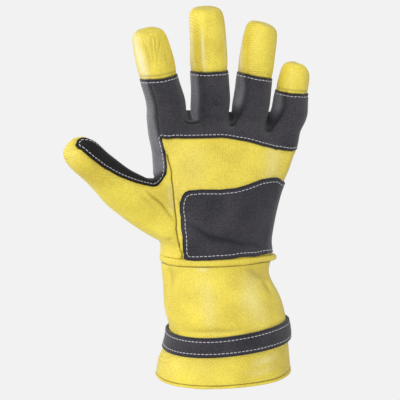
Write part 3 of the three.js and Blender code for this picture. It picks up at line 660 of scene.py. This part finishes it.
# The border of a node's outer sheet as one loop, seen from the front: x and z
def frontOutline(name):
    mesh = nodeBmesh(name)
    groups = sorted(connectedGroups(mesh.faces, math.radians(50)), key=len)[-2:]
    front = min(groups, key=lambda g: sum(f.calc_center_median().y for f in g) / len(g))
    sheet, follows = set(front), {}
    for face in sorted(front, key=lambda f: f.index):
        for loop in face.loops:
            if loop.edge.link_faces and not all(f in sheet for f in loop.edge.link_faces):
                follows[loop.vert.index] = loop.link_loop_next.vert.index
    mesh.verts.ensure_lookup_table()
    start = current = min(follows)
    outline = []
    while True:
        outline.append((mesh.verts[current].co.x, mesh.verts[current].co.z))
        current = follows[current]
        if current == start:
            break
    mesh.free()
    return np.array(outline)


# How far points lie inside a closed outline, and the nearest places on it
def insideOutline(places, outline):
    starts, ends = outline, np.roll(outline, -1, axis=0)
    sides = ends - starts
    best, nearest = np.full(len(places), 1.0), np.zeros_like(places)
    inside = np.zeros(len(places), dtype=bool)
    for start, end, side in zip(starts, ends, sides):
        t = np.clip(((places - start) @ side) / max(side @ side, 1e-18), 0, 1)
        spot = start + t[:, None] * side
        away = np.linalg.norm(places - spot, axis=1)
        closer = away < best
        best[closer], nearest[closer] = away[closer], spot[closer]
        crosses = (start[1] > places[:, 1]) != (end[1] > places[:, 1])
        if side[1]:
            inside ^= crosses & (places[:, 0] < start[0] + (places[:, 1] - start[1]) / side[1] * side[0])
    return np.where(inside, best, -best), nearest


patchOutline = frontOutline("heel_patch")
fromCorner = np.linalg.norm(patchOutline - np.array(patchCorner["place"]) * mm, axis=1)
nearCorner = np.clip(1 - fromCorner / (patchCorner["reach"] * mm), 0, 1) ** 0.7
patchOutline += np.array(patchCorner["shift"]) * mm * nearCorner[:, None]
# On the little finger's side the patch runs into the palm's own edge
rightEnd = patchOutline[:, 0].max()
openOutline = patchOutline + (patchOutline[:, :1] > rightEnd - 6 * mm) * np.array([[0.03, 0.0]])
palmQuads = quads[panelOf == panelNames.index("palm_panel")]
depthInside, nearestSpot = insideOutline(yellowSkin[:, [0, 2]], openOutline)
patchQuads = palmQuads[(depthInside[palmQuads] > -0.1 * mm).all(axis=1)]
patchPoints = yellowSkin + yellowNormals * (patchLook["gap"] + patchLook["wall"]) * mm
border = np.unique(borderEdges(patchQuads))
border = border[depthInside[border] < 1.5 * mm]
noise.seed_set(patchLook["seed"])  # without it noise_vector starts from the clock
ragged = np.array([noise.noise_vector(Vector(point) / 0.008) for point in patchPoints[border]])
patchPoints[border, 0] = nearestSpot[border, 0] + patchLook["ragged"] * mm * ragged[:, 0]
patchPoints[border, 2] = nearestSpot[border, 1] + patchLook["ragged"] * mm * ragged[:, 2]
used, patchQuads = np.unique(patchQuads, return_inverse=True)
patchQuads = patchQuads.reshape(-1, 4)
patchPoints, patchNormals = patchPoints[used], yellowNormals[used]
patchEdge = distances(patchPoints, patchPoints[np.unique(borderEdges(patchQuads))])
height = patchLook["puff"] * mm * (1 - bump(patchEdge, 5 * mm))
height -= stitchGroove(patchEdge - patchLook["inset"] * mm)
creaseDepth, patchCreaseShade = creaseField(patchPoints, patchQuads, patchCreases)
height += creaseDepth
patchSkin = patchPoints + patchNormals * height[:, None]
patchUp = surfaceNormals(patchSkin, patchQuads)
pieces["heel_patch"] = thickPiece(
    "heel_patch_leather",
    patchSkin,
    patchNormals,
    patchQuads,
    patchLook["wall"],
    patchLook["edgeRadius"],
    {"lap": patchEdge, "turned": np.full(len(patchSkin), farAway), "crease": patchCreaseShade},
)
print("heel patch:", len(patchQuads), "faces")


# The cuff, its strap and its two rolls, in mm
cuffLook = {"wall": 2.0, "edgeRadius": 0.35, "unevenness": 0.8}
strapLook = {
    "wall": 2.2,
    "edgeRadius": 0.45,
    "inset": 2.8,  # from both edges to the stitches
    "crown": 0.35,  # how much fuller its middle is
}
rollLook = {"weltUnevenness": 0.35, "hemUnevenness": 0.25}
# Where the cuff is painted paler as sheen: pixels of the photo, width in mm and strength
cuffSheenStreaks = [
    {"line": [(204, 276), (207, 292), (209, 310), (212, 332)], "width": 4.6, "strength": 0.22},
    {"line": [(196, 269), (209, 270)], "width": 2.2, "strength": 0.35},
    {"line": [(254, 268), (251, 284), (250, 298), (257, 313), (270, 324)], "width": 8.5, "strength": 0.32},
    {"line": [(250, 366), (262, 362), (280, 355)], "width": 3.4, "strength": 0.4},
    {"line": [(244, 375), (262, 372), (280, 365)], "width": 2.6, "strength": 0.25},
    {"line": [(161, 350), (158, 360), (157.5, 374)], "width": 4.0, "strength": 0.5},
]
# Creases of the cuff, also painted darker as shade: pixels of the photo, width and depth in mm
cuffCreases = [
    {"line": [(181, 330), (205, 331.5), (230, 331), (247, 329)], "width": 2.2, "depth": 0.5},
    {"line": [(262, 279), (267, 287), (271.7, 296)], "width": 3.0, "depth": 0.6},
    {"line": [(246, 268), (258, 276), (268, 279)], "width": 3.5, "depth": 0.5},
    {"line": [(168, 262), (172, 275), (171, 290)], "width": 4.0, "depth": 0.4},
]


# A ring's outer sheet as a smooth surface, with the distance from its border
def ringSheet(name, levels):
    points, normals, quads, _ = skinArrays(smoothSurface(outerCage([name], ringOutside, sameSpot), levels))
    return points, normals, quads, distances(points, points[np.unique(borderEdges(quads))])


cuffPoints, cuffNormals, cuffQuads, cuffEdge = ringSheet("cuff", 3)
height = cuffLook["unevenness"] * mm * fractal(cuffPoints, 0.045)
creaseDepth, cuffCreaseShade = creaseField(cuffPoints, cuffQuads, cuffCreases)
height = (height + creaseDepth) * (1 - bump(cuffEdge, 5 * mm))
cuffSkin = cuffPoints + cuffNormals * height[:, None]
# The cuff is painted darker as shade along its edges under the rolls and in its creases, and paler as sheen along
# its streaks
pieces["cuff"] = thickPiece(
    "cuff_leather",
    cuffSkin,
    cuffNormals,
    cuffQuads,
    cuffLook["wall"],
    cuffLook["edgeRadius"],
    {
        "lap": np.full(len(cuffSkin), farAway),
        "turned": cuffEdge,
        "crease": cuffCreaseShade,
        "paintedLight": streakField(cuffPoints, cuffQuads, cuffSheenStreaks),
    },
)

strapPoints, strapNormals, strapQuads, strapEdge = ringSheet("cuff_strap", 3)
height = 0.3 * cuffLook["unevenness"] * mm * fractal(strapPoints, 0.03)
height += strapLook["crown"] * mm * (1 - bump(strapEdge, 3 * mm))
height -= stitchGroove(strapEdge - strapLook["inset"] * mm)
strapSkin = strapPoints + strapNormals * height[:, None]
strapUp = surfaceNormals(strapSkin, strapQuads)
pieces["cuff_strap"] = thickPiece(
    "cuff_strap_leather",
    strapSkin,
    strapNormals,
    strapQuads,
    strapLook["wall"],
    strapLook["edgeRadius"],
    {"lap": strapEdge, "turned": np.full(len(strapSkin), farAway), "crease": np.zeros(len(strapSkin))},
)


# A closed roll of leather, smoothed as a whole
def smoothRoll(name, levels, unevenness):
    mesh = smoothSurface(foursided(nodeBmesh(name)), levels)
    mesh.name = name + "_leather"
    points, normals = meshArrays(mesh)
    points = points + normals * (unevenness * mm * fractal(points, 0.014))[:, None]
    mesh.vertices.foreach_set("co", points.ravel())
    mesh.polygons.foreach_set("use_smooth", np.ones(len(mesh.polygons), dtype=bool))
    for key, value in (("lap", farAway), ("turned", farAway), ("crease", 0.0)):
        layer = mesh.attributes.new(key, "FLOAT", "POINT")
        layer.data.foreach_set("value", np.full(len(points), value))
    mesh.update()
    piece = bpy.data.objects.new(mesh.name, mesh)
    bpy.context.collection.objects.link(piece)
    return piece


pieces["wrist_welt"] = smoothRoll("wrist_welt", 2, rollLook["weltUnevenness"])
pieces["cuff_hem"] = smoothRoll("cuff_hem", 2, rollLook["hemUnevenness"])
print("cuff:", len(cuffQuads), "faces, strap:", len(strapQuads), "faces")


# The stitches, in mm unless a note says otherwise
stitchLook = {
    "pitch": 3.1,
    "length": 2.05,
    "width": 0.55,
    "arch": 0.3,  # how high the thread rises between its two holes
    "wobble": 3.0,  # degrees
}


# Lines of equal distance on a surface, each as its points and the surface's directions there
def equalLines(points, normals, quads, field, shortest=12 * mm):
    above = field[quads] > 0
    mixed = quads[above.any(axis=1) & ~above.all(axis=1)]
    crossings, neighbours = {}, {}
    for quad in mixed.tolist():
        keys = []
        for a, b in zip(quad, quad[1:] + quad[:1]):
            if (field[a] > 0) != (field[b] > 0):
                key = (min(a, b), max(a, b))
                t = field[a] / (field[a] - field[b])
                up = normals[a] + t * (normals[b] - normals[a])
                crossings[key] = (points[a] + t * (points[b] - points[a]), up)
                keys.append(key)
        for first, second in zip(keys[::2], keys[1::2]):
            neighbours.setdefault(first, []).append(second)
            neighbours.setdefault(second, []).append(first)
    lines, used = [], set()
    for start in sorted(neighbours, key=lambda key: (len(neighbours[key]), key)):
        if start in used:
            continue
        chain, current = [start], start
        used.add(start)
        while True:
            following = [key for key in neighbours[current] if key not in used]
            if not following:
                break
            current = following[0]
            used.add(current)
            chain.append(current)
        if len(chain) < 4:
            continue
        closed = chain[0] in neighbours[chain[-1]]
        path = np.array([crossings[key][0] for key in chain])
        ups = np.array([crossings[key][1] for key in chain])
        for _ in range(4):  # evens out the zigzag of the faces
            smoother = (np.roll(path, 1, axis=0) + 2 * path + np.roll(path, -1, axis=0)) / 4
            path = smoother if closed else np.concatenate([path[:1], smoother[1:-1], path[-1:]])
        if np.linalg.norm(np.diff(path, axis=0), axis=1).sum() > shortest:
            lines.append((path, ups, closed))
    return lines


def addNode(tree, kind, inputs=None, **settings):
    node = tree.nodes.new(kind)
    for key, value in settings.items():
        setattr(node, key, value)
    for key, value in (inputs or {}).items():
        if isinstance(value, bpy.types.NodeSocket):
            tree.links.new(value, node.inputs[key])
        else:
            node.inputs[key].default_value = value
    return node


def stitchTree():
    tree = bpy.data.node_groups.new("stitch row", "GeometryNodeTree")
    sockets = [
        ("Geometry", "NodeSocketGeometry"),
        ("Pitch", "NodeSocketFloat"),
        ("Length", "NodeSocketFloat"),
        ("Width", "NodeSocketFloat"),
        ("Arch", "NodeSocketFloat"),
        ("Wobble", "NodeSocketFloat"),
        ("Seed", "NodeSocketInt"),
        ("Thread", "NodeSocketMaterial"),
    ]
    for label, kind in sockets:
        tree.interface.new_socket(label, in_out="INPUT", socket_type=kind)
    tree.interface.new_socket("Geometry", in_out="OUTPUT", socket_type="NodeSocketGeometry")
    given = addNode(tree, "NodeGroupInput").outputs
    curve = addNode(tree, "GeometryNodeMeshToCurve", {"Mesh": given["Geometry"]})
    spacing = {"Curve": curve.outputs[0], "Length": given["Pitch"]}
    row = addNode(tree, "GeometryNodeResampleCurve", spacing, mode="LENGTH")
    half = addNode(tree, "ShaderNodeMath", {0: given["Length"], 1: 0.5}, operation="MULTIPLY").outputs[0]
    minusHalf = addNode(tree, "ShaderNodeMath", {0: half, 1: -1.0}, operation="MULTIPLY").outputs[0]
    low = addNode(tree, "ShaderNodeMath", {0: given["Arch"], 1: -1.0}, operation="MULTIPLY").outputs[0]
    start = addNode(tree, "ShaderNodeCombineXYZ", {"X": minusHalf, "Z": low}).outputs[0]
    end = addNode(tree, "ShaderNodeCombineXYZ", {"X": half, "Z": low}).outputs[0]
    top = addNode(tree, "ShaderNodeCombineXYZ", {"Z": given["Arch"]}).outputs[0]
    ends = {"Resolution": 6, "Start": start, "Middle": top, "End": end}
    bow = addNode(tree, "GeometryNodeCurveQuadraticBezier", ends)
    radius = addNode(tree, "ShaderNodeMath", {0: given["Width"], 1: 0.5}, operation="MULTIPLY").outputs[0]
    section = addNode(tree, "GeometryNodeCurvePrimitiveCircle", {"Resolution": 6, "Radius": radius}, mode="RADIUS")
    thread = addNode(
        tree,
        "GeometryNodeCurveToMesh",
        {"Curve": bow.outputs[0], "Profile Curve": section.outputs[0], "Fill Caps": True},
    )
    tangent = addNode(tree, "GeometryNodeInputTangent").outputs[0]
    up = addNode(tree, "GeometryNodeInputNamedAttribute", {"Name": "up"}, data_type="FLOAT_VECTOR").outputs[0]
    upright = addNode(tree, "FunctionNodeAlignRotationToVector", {"Vector": up}, axis="Z")
    turnedTo = addNode(
        tree,
        "FunctionNodeAlignRotationToVector",
        {"Rotation": upright.outputs[0], "Vector": tangent},
        axis="X",
        pivot_axis="Z",
    )
    wobble = addNode(tree, "ShaderNodeMath", {0: given["Wobble"], 1: -1.0}, operation="MULTIPLY").outputs[0]
    limits = {2: wobble, 3: given["Wobble"], "Seed": given["Seed"]}
    turn = addNode(tree, "FunctionNodeRandomValue", limits, data_type="FLOAT")
    twist = addNode(tree, "ShaderNodeCombineXYZ", {"Z": turn.outputs[1]}).outputs[0]
    spun = addNode(
        tree,
        "FunctionNodeRotateRotation",
        {"Rotation": turnedTo.outputs[0], "Rotate By": twist},
        rotation_space="LOCAL",
    )
    placed = addNode(
        tree,
        "GeometryNodeInstanceOnPoints",
        {"Points": row.outputs[0], "Instance": thread.outputs[0], "Rotation": spun.outputs[0]},
    )
    real = addNode(tree, "GeometryNodeRealizeInstances", {0: placed.outputs[0]})
    smooth = addNode(tree, "GeometryNodeSetShadeSmooth", {0: real.outputs[0]})
    finish = {"Geometry": smooth.outputs[0], "Material": given["Thread"]}
    coloured = addNode(tree, "GeometryNodeSetMaterial", finish)
    addNode(tree, "NodeGroupOutput", {0: coloured.outputs[0]})
    return tree


stitchNodes = stitchTree()


def stitchRow(name, lines, material, seed, lift=0.15):
    paths, ups, edges = [], [], []
    for path, up, closed in lines:
        start, count = len(paths), len(path)
        direction = up / np.linalg.norm(up, axis=1, keepdims=True)
        paths += (path + direction * lift * mm).tolist()
        ups += direction.tolist()
        edges += [(start + i, start + i + 1) for i in range(count - 1)]
        if closed:
            edges.append((start + count - 1, start))
    mesh = bpy.data.meshes.new(name + " path")
    mesh.from_pydata(paths, edges, [])
    layer = mesh.attributes.new("up", "FLOAT_VECTOR", "POINT")
    layer.data.foreach_set("vector", np.array(ups).ravel())
    thing = bpy.data.objects.new(name + " path", mesh)
    bpy.context.collection.objects.link(thing)
    modifier = thing.modifiers.new("stitches", "NODES")
    modifier.node_group = stitchNodes
    values = {
        "Pitch": stitchLook["pitch"] * mm,
        "Length": stitchLook["length"] * mm,
        "Width": stitchLook["width"] * mm,
        "Arch": stitchLook["arch"] * mm,
        "Wobble": math.radians(stitchLook["wobble"]),
        "Seed": seed,
        "Thread": material,
    }
    for item in stitchNodes.interface.items_tree:
        if item.in_out == "INPUT" and item.name in values:
            modifier[item.identifier] = values[item.name]
    result = bpy.data.meshes.new_from_object(thing.evaluated_get(bpy.context.evaluated_depsgraph_get()))
    result.name = name
    bpy.data.objects.remove(thing)
    piece = bpy.data.objects.new(name, result)
    bpy.context.collection.objects.link(piece)
    return piece


bandSpacing = 0.314  # metres from one band of a Wave texture to the next where its scale is 1


# Leather from the object's own coordinates: a slow stain, fine pores and, where it was stretched, rows of ribs, all
# between a light and a dark colour; then, where given, a paler colour painted on as light, and a darker colour
# painted on as shade at laps, seams and creases, partly the dirt in the seams
def leather(name, light, dark, edge, stain, pores, ribs, roughness, gloss, sheen, paintedLight=None):
    material = bpy.data.materials.new(name)
    material.use_nodes = True
    tree = material.node_tree
    tree.nodes.clear()
    place = addNode(tree, "ShaderNodeTexCoord").outputs["Object"]
    slow = addNode(tree, "ShaderNodeTexNoise", {"Vector": place, "Scale": 38.0, "Detail": 3.0}).outputs[0]
    slow = addNode(tree, "ShaderNodeMapRange", {"Value": slow, "From Min": 0.35, "From Max": 0.7}).outputs[0]
    fineInputs = {"Vector": place, "Scale": 1 / (pores["size"] * mm), "Detail": 3.0, "Roughness": 0.6}
    fine = addNode(tree, "ShaderNodeTexNoise", fineInputs).outputs[0]
    fleck = addNode(tree, "ShaderNodeMapRange", {"Value": fine, "From Min": 0.32, "From Max": 0.68}).outputs[0]
    rows = 1.0
    for angle in ribs["angles"]:
        turned = addNode(tree, "ShaderNodeMapping", {"Vector": place, "Rotation": (0.0, math.radians(angle), 0.0)})
        waveInputs = {
            "Vector": turned.outputs[0],
            "Scale": bandSpacing / (ribs["pitch"] * mm),
            "Distortion": ribs["waver"],
            "Detail": 2.0,
            "Detail Scale": 0.8,
        }
        wave = addNode(tree, "ShaderNodeTexWave", waveInputs, bands_direction="Z").outputs["Fac"]
        rows = addNode(tree, "ShaderNodeMath", {0: wave, 1: rows}, operation="MULTIPLY").outputs[0]
    spread = addNode(tree, "ShaderNodeTexNoise", {"Vector": place, "Scale": 55.0, "Detail": 1.0}).outputs[0]
    spread = addNode(tree, "ShaderNodeMapRange", {"Value": spread, "From Min": 0.3, "From Max": 0.6}).outputs[0]
    if "fade" in ribs:
        along = addNode(tree, "ShaderNodeSeparateXYZ", {0: place}).outputs[0]
        near, far = ribs["fade"]
        fadeInputs = {"Value": along, "From Min": near * mm, "From Max": far * mm, "To Min": 1.0, "To Max": 0.12}
        faded = addNode(tree, "ShaderNodeMapRange", fadeInputs).outputs[0]
        spread = addNode(tree, "ShaderNodeMath", {0: spread, 1: faded}, operation="MULTIPLY").outputs[0]
    rows = addNode(tree, "ShaderNodeMath", {0: rows, 1: spread}, operation="MULTIPLY").outputs[0]
    shade = 0.0
    for value, weight in ((slow, stain), (fleck, pores["tint"]), (rows, ribs["tint"])):
        terms = {0: value, 1: weight, 2: shade}
        shade = addNode(tree, "ShaderNodeMath", terms, operation="MULTIPLY_ADD").outputs[0]
    colours = {0: shade, 6: toLinear(light), 7: toLinear(dark)}
    body = addNode(tree, "ShaderNodeMix", colours, data_type="RGBA").outputs[2]
    # A paler colour painted on as light, as strongly as the attribute says
    if paintedLight:
        colours = {0: shade, 6: toLinear(paintedLight["light"]), 7: toLinear(paintedLight["dark"])}
        paintedLighter = addNode(tree, "ShaderNodeMix", colours, data_type="RGBA").outputs[2]
        share = addNode(tree, "ShaderNodeAttribute", attribute_name="paintedLight").outputs["Fac"]
        body = addNode(tree, "ShaderNodeMix", {0: share, 6: body, 7: paintedLighter}, data_type="RGBA").outputs[2]
    # Painted shade: darker towards the edge colour near laps, turned seams and creases, partly the dirt in the
    # seams
    for field in ("lap", "turned", "crease"):
        width, strength = edge[field]
        value = addNode(tree, "ShaderNodeAttribute", attribute_name=field).outputs["Fac"]
        limits = {"From Min": 0.3 * width * mm, "From Max": width * mm, "To Min": strength, "To Max": 0.0}
        if field == "crease":
            limits = {"To Max": strength}
        share = addNode(tree, "ShaderNodeMapRange", {"Value": value, **limits}).outputs[0]
        colours = {0: share, 6: body, 7: toLinear(edge["colour"])}
        body = addNode(tree, "ShaderNodeMix", colours, data_type="RGBA").outputs[2]
    rise = addNode(tree, "ShaderNodeMath", {0: rows, 1: -ribs["relief"]}, operation="MULTIPLY").outputs[0]
    terms = {0: fine, 1: -pores["relief"], 2: rise}
    rise = addNode(tree, "ShaderNodeMath", terms, operation="MULTIPLY_ADD").outputs[0]
    bumped = addNode(tree, "ShaderNodeBump", {"Height": rise, "Distance": mm, "Strength": 1.0}).outputs[0]
    shader = {
        "Base Color": body,
        "Roughness": roughness,
        "IOR": 1.45,
        "Specular IOR Level": gloss,
        "Sheen Weight": sheen,
        "Sheen Roughness": 0.5,
        "Normal": bumped,
    }
    surface = addNode(tree, "ShaderNodeBsdfPrincipled", shader)
    addNode(tree, "ShaderNodeOutputMaterial", {"Surface": surface.outputs[0]})
    return material


# Grain cowhide, chrome tanned and sprayed lemon yellow: a low satin gloss over fine pores and stretched ribs
yellowLook = {
    "light": "#f8e655",
    "dark": "#c6ab33",
    # A paler colour painted on as sheen and highlights
    "paintedLight": {"light": "#f7f0c4", "dark": "#dbd093"},
    # The darker colour painted on as shade at laps, seams and creases
    "edge": {"colour": "#86742a", "lap": (1.1, 0.7), "turned": (0.9, 0.85), "crease": (1.0, 0.72)},
    "stain": 0.38,
    "pores": {"size": 1.2, "tint": 0.42, "relief": 0.26},
    "roughness": 0.43,
    "gloss": 0.5,
    "sheen": 0.08,
}
# Which way the stretched leather's ribs run on each piece
yellowRibs = {
    "plain": {"angles": (86.0,), "pitch": 2.0, "waver": 2.2, "tint": 0.12, "relief": 0.06},
    "twill": {"angles": (-38.0,), "pitch": 1.9, "waver": 0.9, "tint": 0.34, "relief": 0.15},
    "level": {"angles": (4.0,), "pitch": 1.8, "waver": 1.1, "tint": 0.36, "relief": 0.16},
    "slanted": {"angles": (-12.0,), "pitch": 2.0, "waver": 1.1, "tint": 0.24, "relief": 0.16, "fade": (-105, -72)},
    "crossed": {"angles": (40.0, -46.0), "pitch": 1.7, "waver": 2.0, "tint": 0.42, "relief": 0.14},
}
yellow = {}
for key, ribs in yellowRibs.items():
    yellow[key] = leather("grain cowhide, sprayed yellow, " + key, ribs=ribs, **yellowLook)
# Split cowhide, brushed to a short nap and dyed charcoal: no gloss, a soft light edge and a faint weave of nap
greyLeather = leather(
    "suede split leather, dyed charcoal",
    light="#48454c",
    dark="#201f25",
    # The near-black painted on as shade at laps, seams and creases
    edge={"colour": "#17161b", "lap": (1.6, 0.8), "turned": (1.2, 0.6), "crease": (1.0, 0.95)},
    stain=0.42,
    pores={"size": 1.0, "tint": 0.75, "relief": 0.3},
    ribs={"angles": (3.0, 87.0), "pitch": 1.7, "waver": 1.5, "tint": 0.45, "relief": 0.12},
    roughness=0.78,
    gloss=0.3,
    sheen=0.25,
)
# The same suede on the fingers' sides, painted lighter where they face the thumb, as the light from that side would
# make it, and painted darker beside the seams
paintedLitSideLeather = leather(
    "suede split leather, painted lighter towards the thumb",
    light="#4d4951",
    dark="#201f25",
    # The paler colours painted on as light where the sides face the thumb
    paintedLight={"light": "#a2a1a7", "dark": "#57565c"},
    # A wide painted shade beside the seams
    edge={"colour": "#17161b", "lap": (1.6, 0.75), "turned": (4.2, 0.8), "crease": (1.0, 0.85)},
    stain=0.3,
    pores={"size": 1.0, "tint": 0.5, "relief": 0.3},
    ribs={"angles": (3.0, 87.0), "pitch": 1.7, "waver": 1.5, "tint": 0.3, "relief": 0.12},
    roughness=0.78,
    gloss=0.3,
    sheen=0.25,
)
# The same split dyed nearly black and pressed smooth: a weak gloss on the folds
blackLeather = leather(
    "pressed split leather, dyed black",
    light="#17161b",
    dark="#070609",
    # Painted shade at laps, seams and creases
    edge={"colour": "#0e0d11", "lap": (1.2, 0.7), "turned": (1.4, 0.8), "crease": (1.0, 0.5)},
    stain=0.3,
    pores={"size": 1.1, "tint": 0.5, "relief": 0.3},
    ribs={"angles": (-35.0,), "pitch": 2.0, "waver": 1.5, "tint": 0.5, "relief": 0.3},
    roughness=0.5,
    gloss=0.3,
    sheen=0.02,
)
# Spun aramid thread, undyed: matt and pale grey
thread = bpy.data.materials.new("spun aramid thread, undyed")
thread.use_nodes = True
threadShader = thread.node_tree.nodes["Principled BSDF"]
threadShader.inputs["Base Color"].default_value = toLinear("#cac9d1")
threadShader.inputs["Roughness"].default_value = 0.7

# Last soft shifts of all the pieces: the wrist's seam hangs lower on the little finger's side, and the cuff's mouth
# is a little narrower there. Centre, reach and shift in mm.
lastShifts = [
    ((38.0, 0.0, 94.0), 32, (0, 0, -2.6)),
    ((50.0, -5.0, 2.0), 40, (-2.0, 0, 1.6)),
]
# The hem's seam lies close to the edge: its height, how far above and below it moves things, and by how much, in mm
hemLip = {"height": 3.15, "reach": 1.7, "drop": 1.3}


def shiftPiece(piece):
    points = meshArrays(piece.data)[0]
    for centre, reach, shift in lastShifts:
        away = np.linalg.norm(points - np.array(centre) * mm, axis=1) / (reach * mm)
        points += np.array(shift) * mm * np.clip(1 - away**2, 0, 1)[:, None] ** 2
    points[:, 2] -= hemLip["drop"] * mm * bump(points[:, 2] - hemLip["height"] * mm, hemLip["reach"] * mm)
    piece.data.vertices.foreach_set("co", points.ravel())
    piece.data.update()


ribsOf = {
    "middle_tip_cap": "twill",
    "ring_tip_cap": "level",
    "little_tip_cap": "plain",
    "index_tip_cap": "plain",
    "thumb_shell": "slanted",
    "cuff": "crossed",
}
for name, piece in pieces.items():
    if name == "thumb_strip":
        finish, slotName = blackLeather, "black_leather"
    elif name in sideNames:
        finish, slotName = paintedLitSideLeather, "grey_leather"
    elif name in greyNames + ["heel_patch", "cuff_strap"]:
        finish, slotName = greyLeather, "grey_leather"
    else:
        finish, slotName = yellow[ribsOf.get(name, "plain")], "yellow_leather"
    piece.data.materials.clear()
    piece.data.materials.append(finish)
    shiftPiece(piece)
    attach(piece, "root")
    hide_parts(name)
print("materials on", len(pieces), "pieces")

greyQuads = quads[isGrey[panelOf]]
handLines = equalLines(greySkin, greyNormals, greyQuads, lap - handLook["stitchInset"] * mm)
patchLines = equalLines(patchSkin, patchUp, patchQuads, patchEdge - patchLook["inset"] * mm)
strapLines = equalLines(strapSkin, strapUp, strapQuads, strapEdge - strapLook["inset"] * mm)
for name, lines, seed in (
    ("hand_stitches", handLines, 3),
    ("patch_stitches", patchLines, 5),
    ("strap_stitches", strapLines, 7),
):
    row = stitchRow(name, lines, thread, seed)
    shiftPiece(row)
    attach(row, "root")
    print(name, len(lines), "rows,", len(row.data.polygons), "faces")


# Light, backdrop and camera
def areaLight(name, place, aim, size, power, colour="#ffffff"):
    light = bpy.data.lights.new(name, "AREA")
    light.size = size
    light.energy = power
    light.color = toLinear(colour)[:3]
    thing = bpy.data.objects.new(name, light)
    thing.location = place
    thing.rotation_euler = (Vector(aim) - Vector(place)).to_track_quat("-Z", "Y").to_euler()
    bpy.context.collection.objects.link(thing)


lightLook = {
    "key": 5.2,
    "side": 10.0,
    "left fill": 7.3,
    "fill": 4.7,
    "right": 2.2,
    "top": 3.0,
    "back": 2.0,
    "ambient": 0.53,
    "floor": 0.68,
    "backdrop": "#f2f2f2",
}
centre = (0.0, 0.0, 0.14)
areaLight("key light", (-1.1, -0.9, 0.75), centre, 0.7, lightLook["key"])
areaLight("side light", (-1.4, 0.25, 0.2), centre, 0.9, lightLook["side"])
areaLight("left fill light", (-0.8, -1.2, 0.12), (-0.05, 0.0, 0.14), 0.5, lightLook["left fill"])
areaLight("fill light", (0.3, -1.5, 0.0), centre, 1.2, lightLook["fill"])
areaLight("right light", (1.3, -0.8, 0.35), centre, 0.8, lightLook["right"])
areaLight("top light", (0.1, -0.2, 1.4), centre, 0.9, lightLook["top"])
areaLight("back light", (-0.6, 1.1, 0.6), centre, 1.0, lightLook["back"])


# The pale studio: plain to look at, and dimmer as a light on the glove
def studioGlow(tree, output, level):
    tree.nodes.clear()
    seen = addNode(tree, "ShaderNodeLightPath").outputs["Is Camera Ray"]
    strength = addNode(tree, "ShaderNodeMapRange", {"Value": seen, "To Min": level}).outputs[0]
    glow = addNode(tree, "ShaderNodeEmission", {"Color": toLinear(lightLook["backdrop"]), "Strength": strength})
    addNode(tree, output, {"Surface": glow.outputs[0]})


backdrop = bpy.data.materials.new("seamless paper, evenly lit")
backdrop.use_nodes = True
studioGlow(backdrop.node_tree, "ShaderNodeOutputMaterial", lightLook["floor"])
sweep = bpy.data.meshes.new("floor")
reach, floorZ = 6.0, -0.002
corners = [(x, y, floorZ) for x, y in ((-reach, -reach), (reach, -reach), (reach, reach), (-reach, reach))]
sweep.from_pydata(corners, [], [(0, 1, 2, 3)])
sweep.materials.append(backdrop)
floor = bpy.data.objects.new("floor", sweep)
bpy.context.collection.objects.link(floor)

world = bpy.data.worlds.new("studio")
world.use_nodes = True
studioGlow(world.node_tree, "ShaderNodeOutputWorld", lightLook["ambient"])
bpy.context.scene.world = world
bpy.context.scene.view_settings.view_transform = "Standard"

right, up, back = viewAxes(photoView["azimuth"], photoView["elevation"])
lens = bpy.data.cameras.new("camera")
lens.lens = photoView["lens"]
lens.sensor_width = photoView["sensor"]
camera = bpy.data.objects.new("camera", lens)
camera.location = Vector(photoView["target"]) + back * photoView["distance"]
camera.rotation_euler = (-back).to_track_quat("-Z", "Y").to_euler()
bpy.context.collection.objects.link(camera)
bpy.context.scene.camera = camera
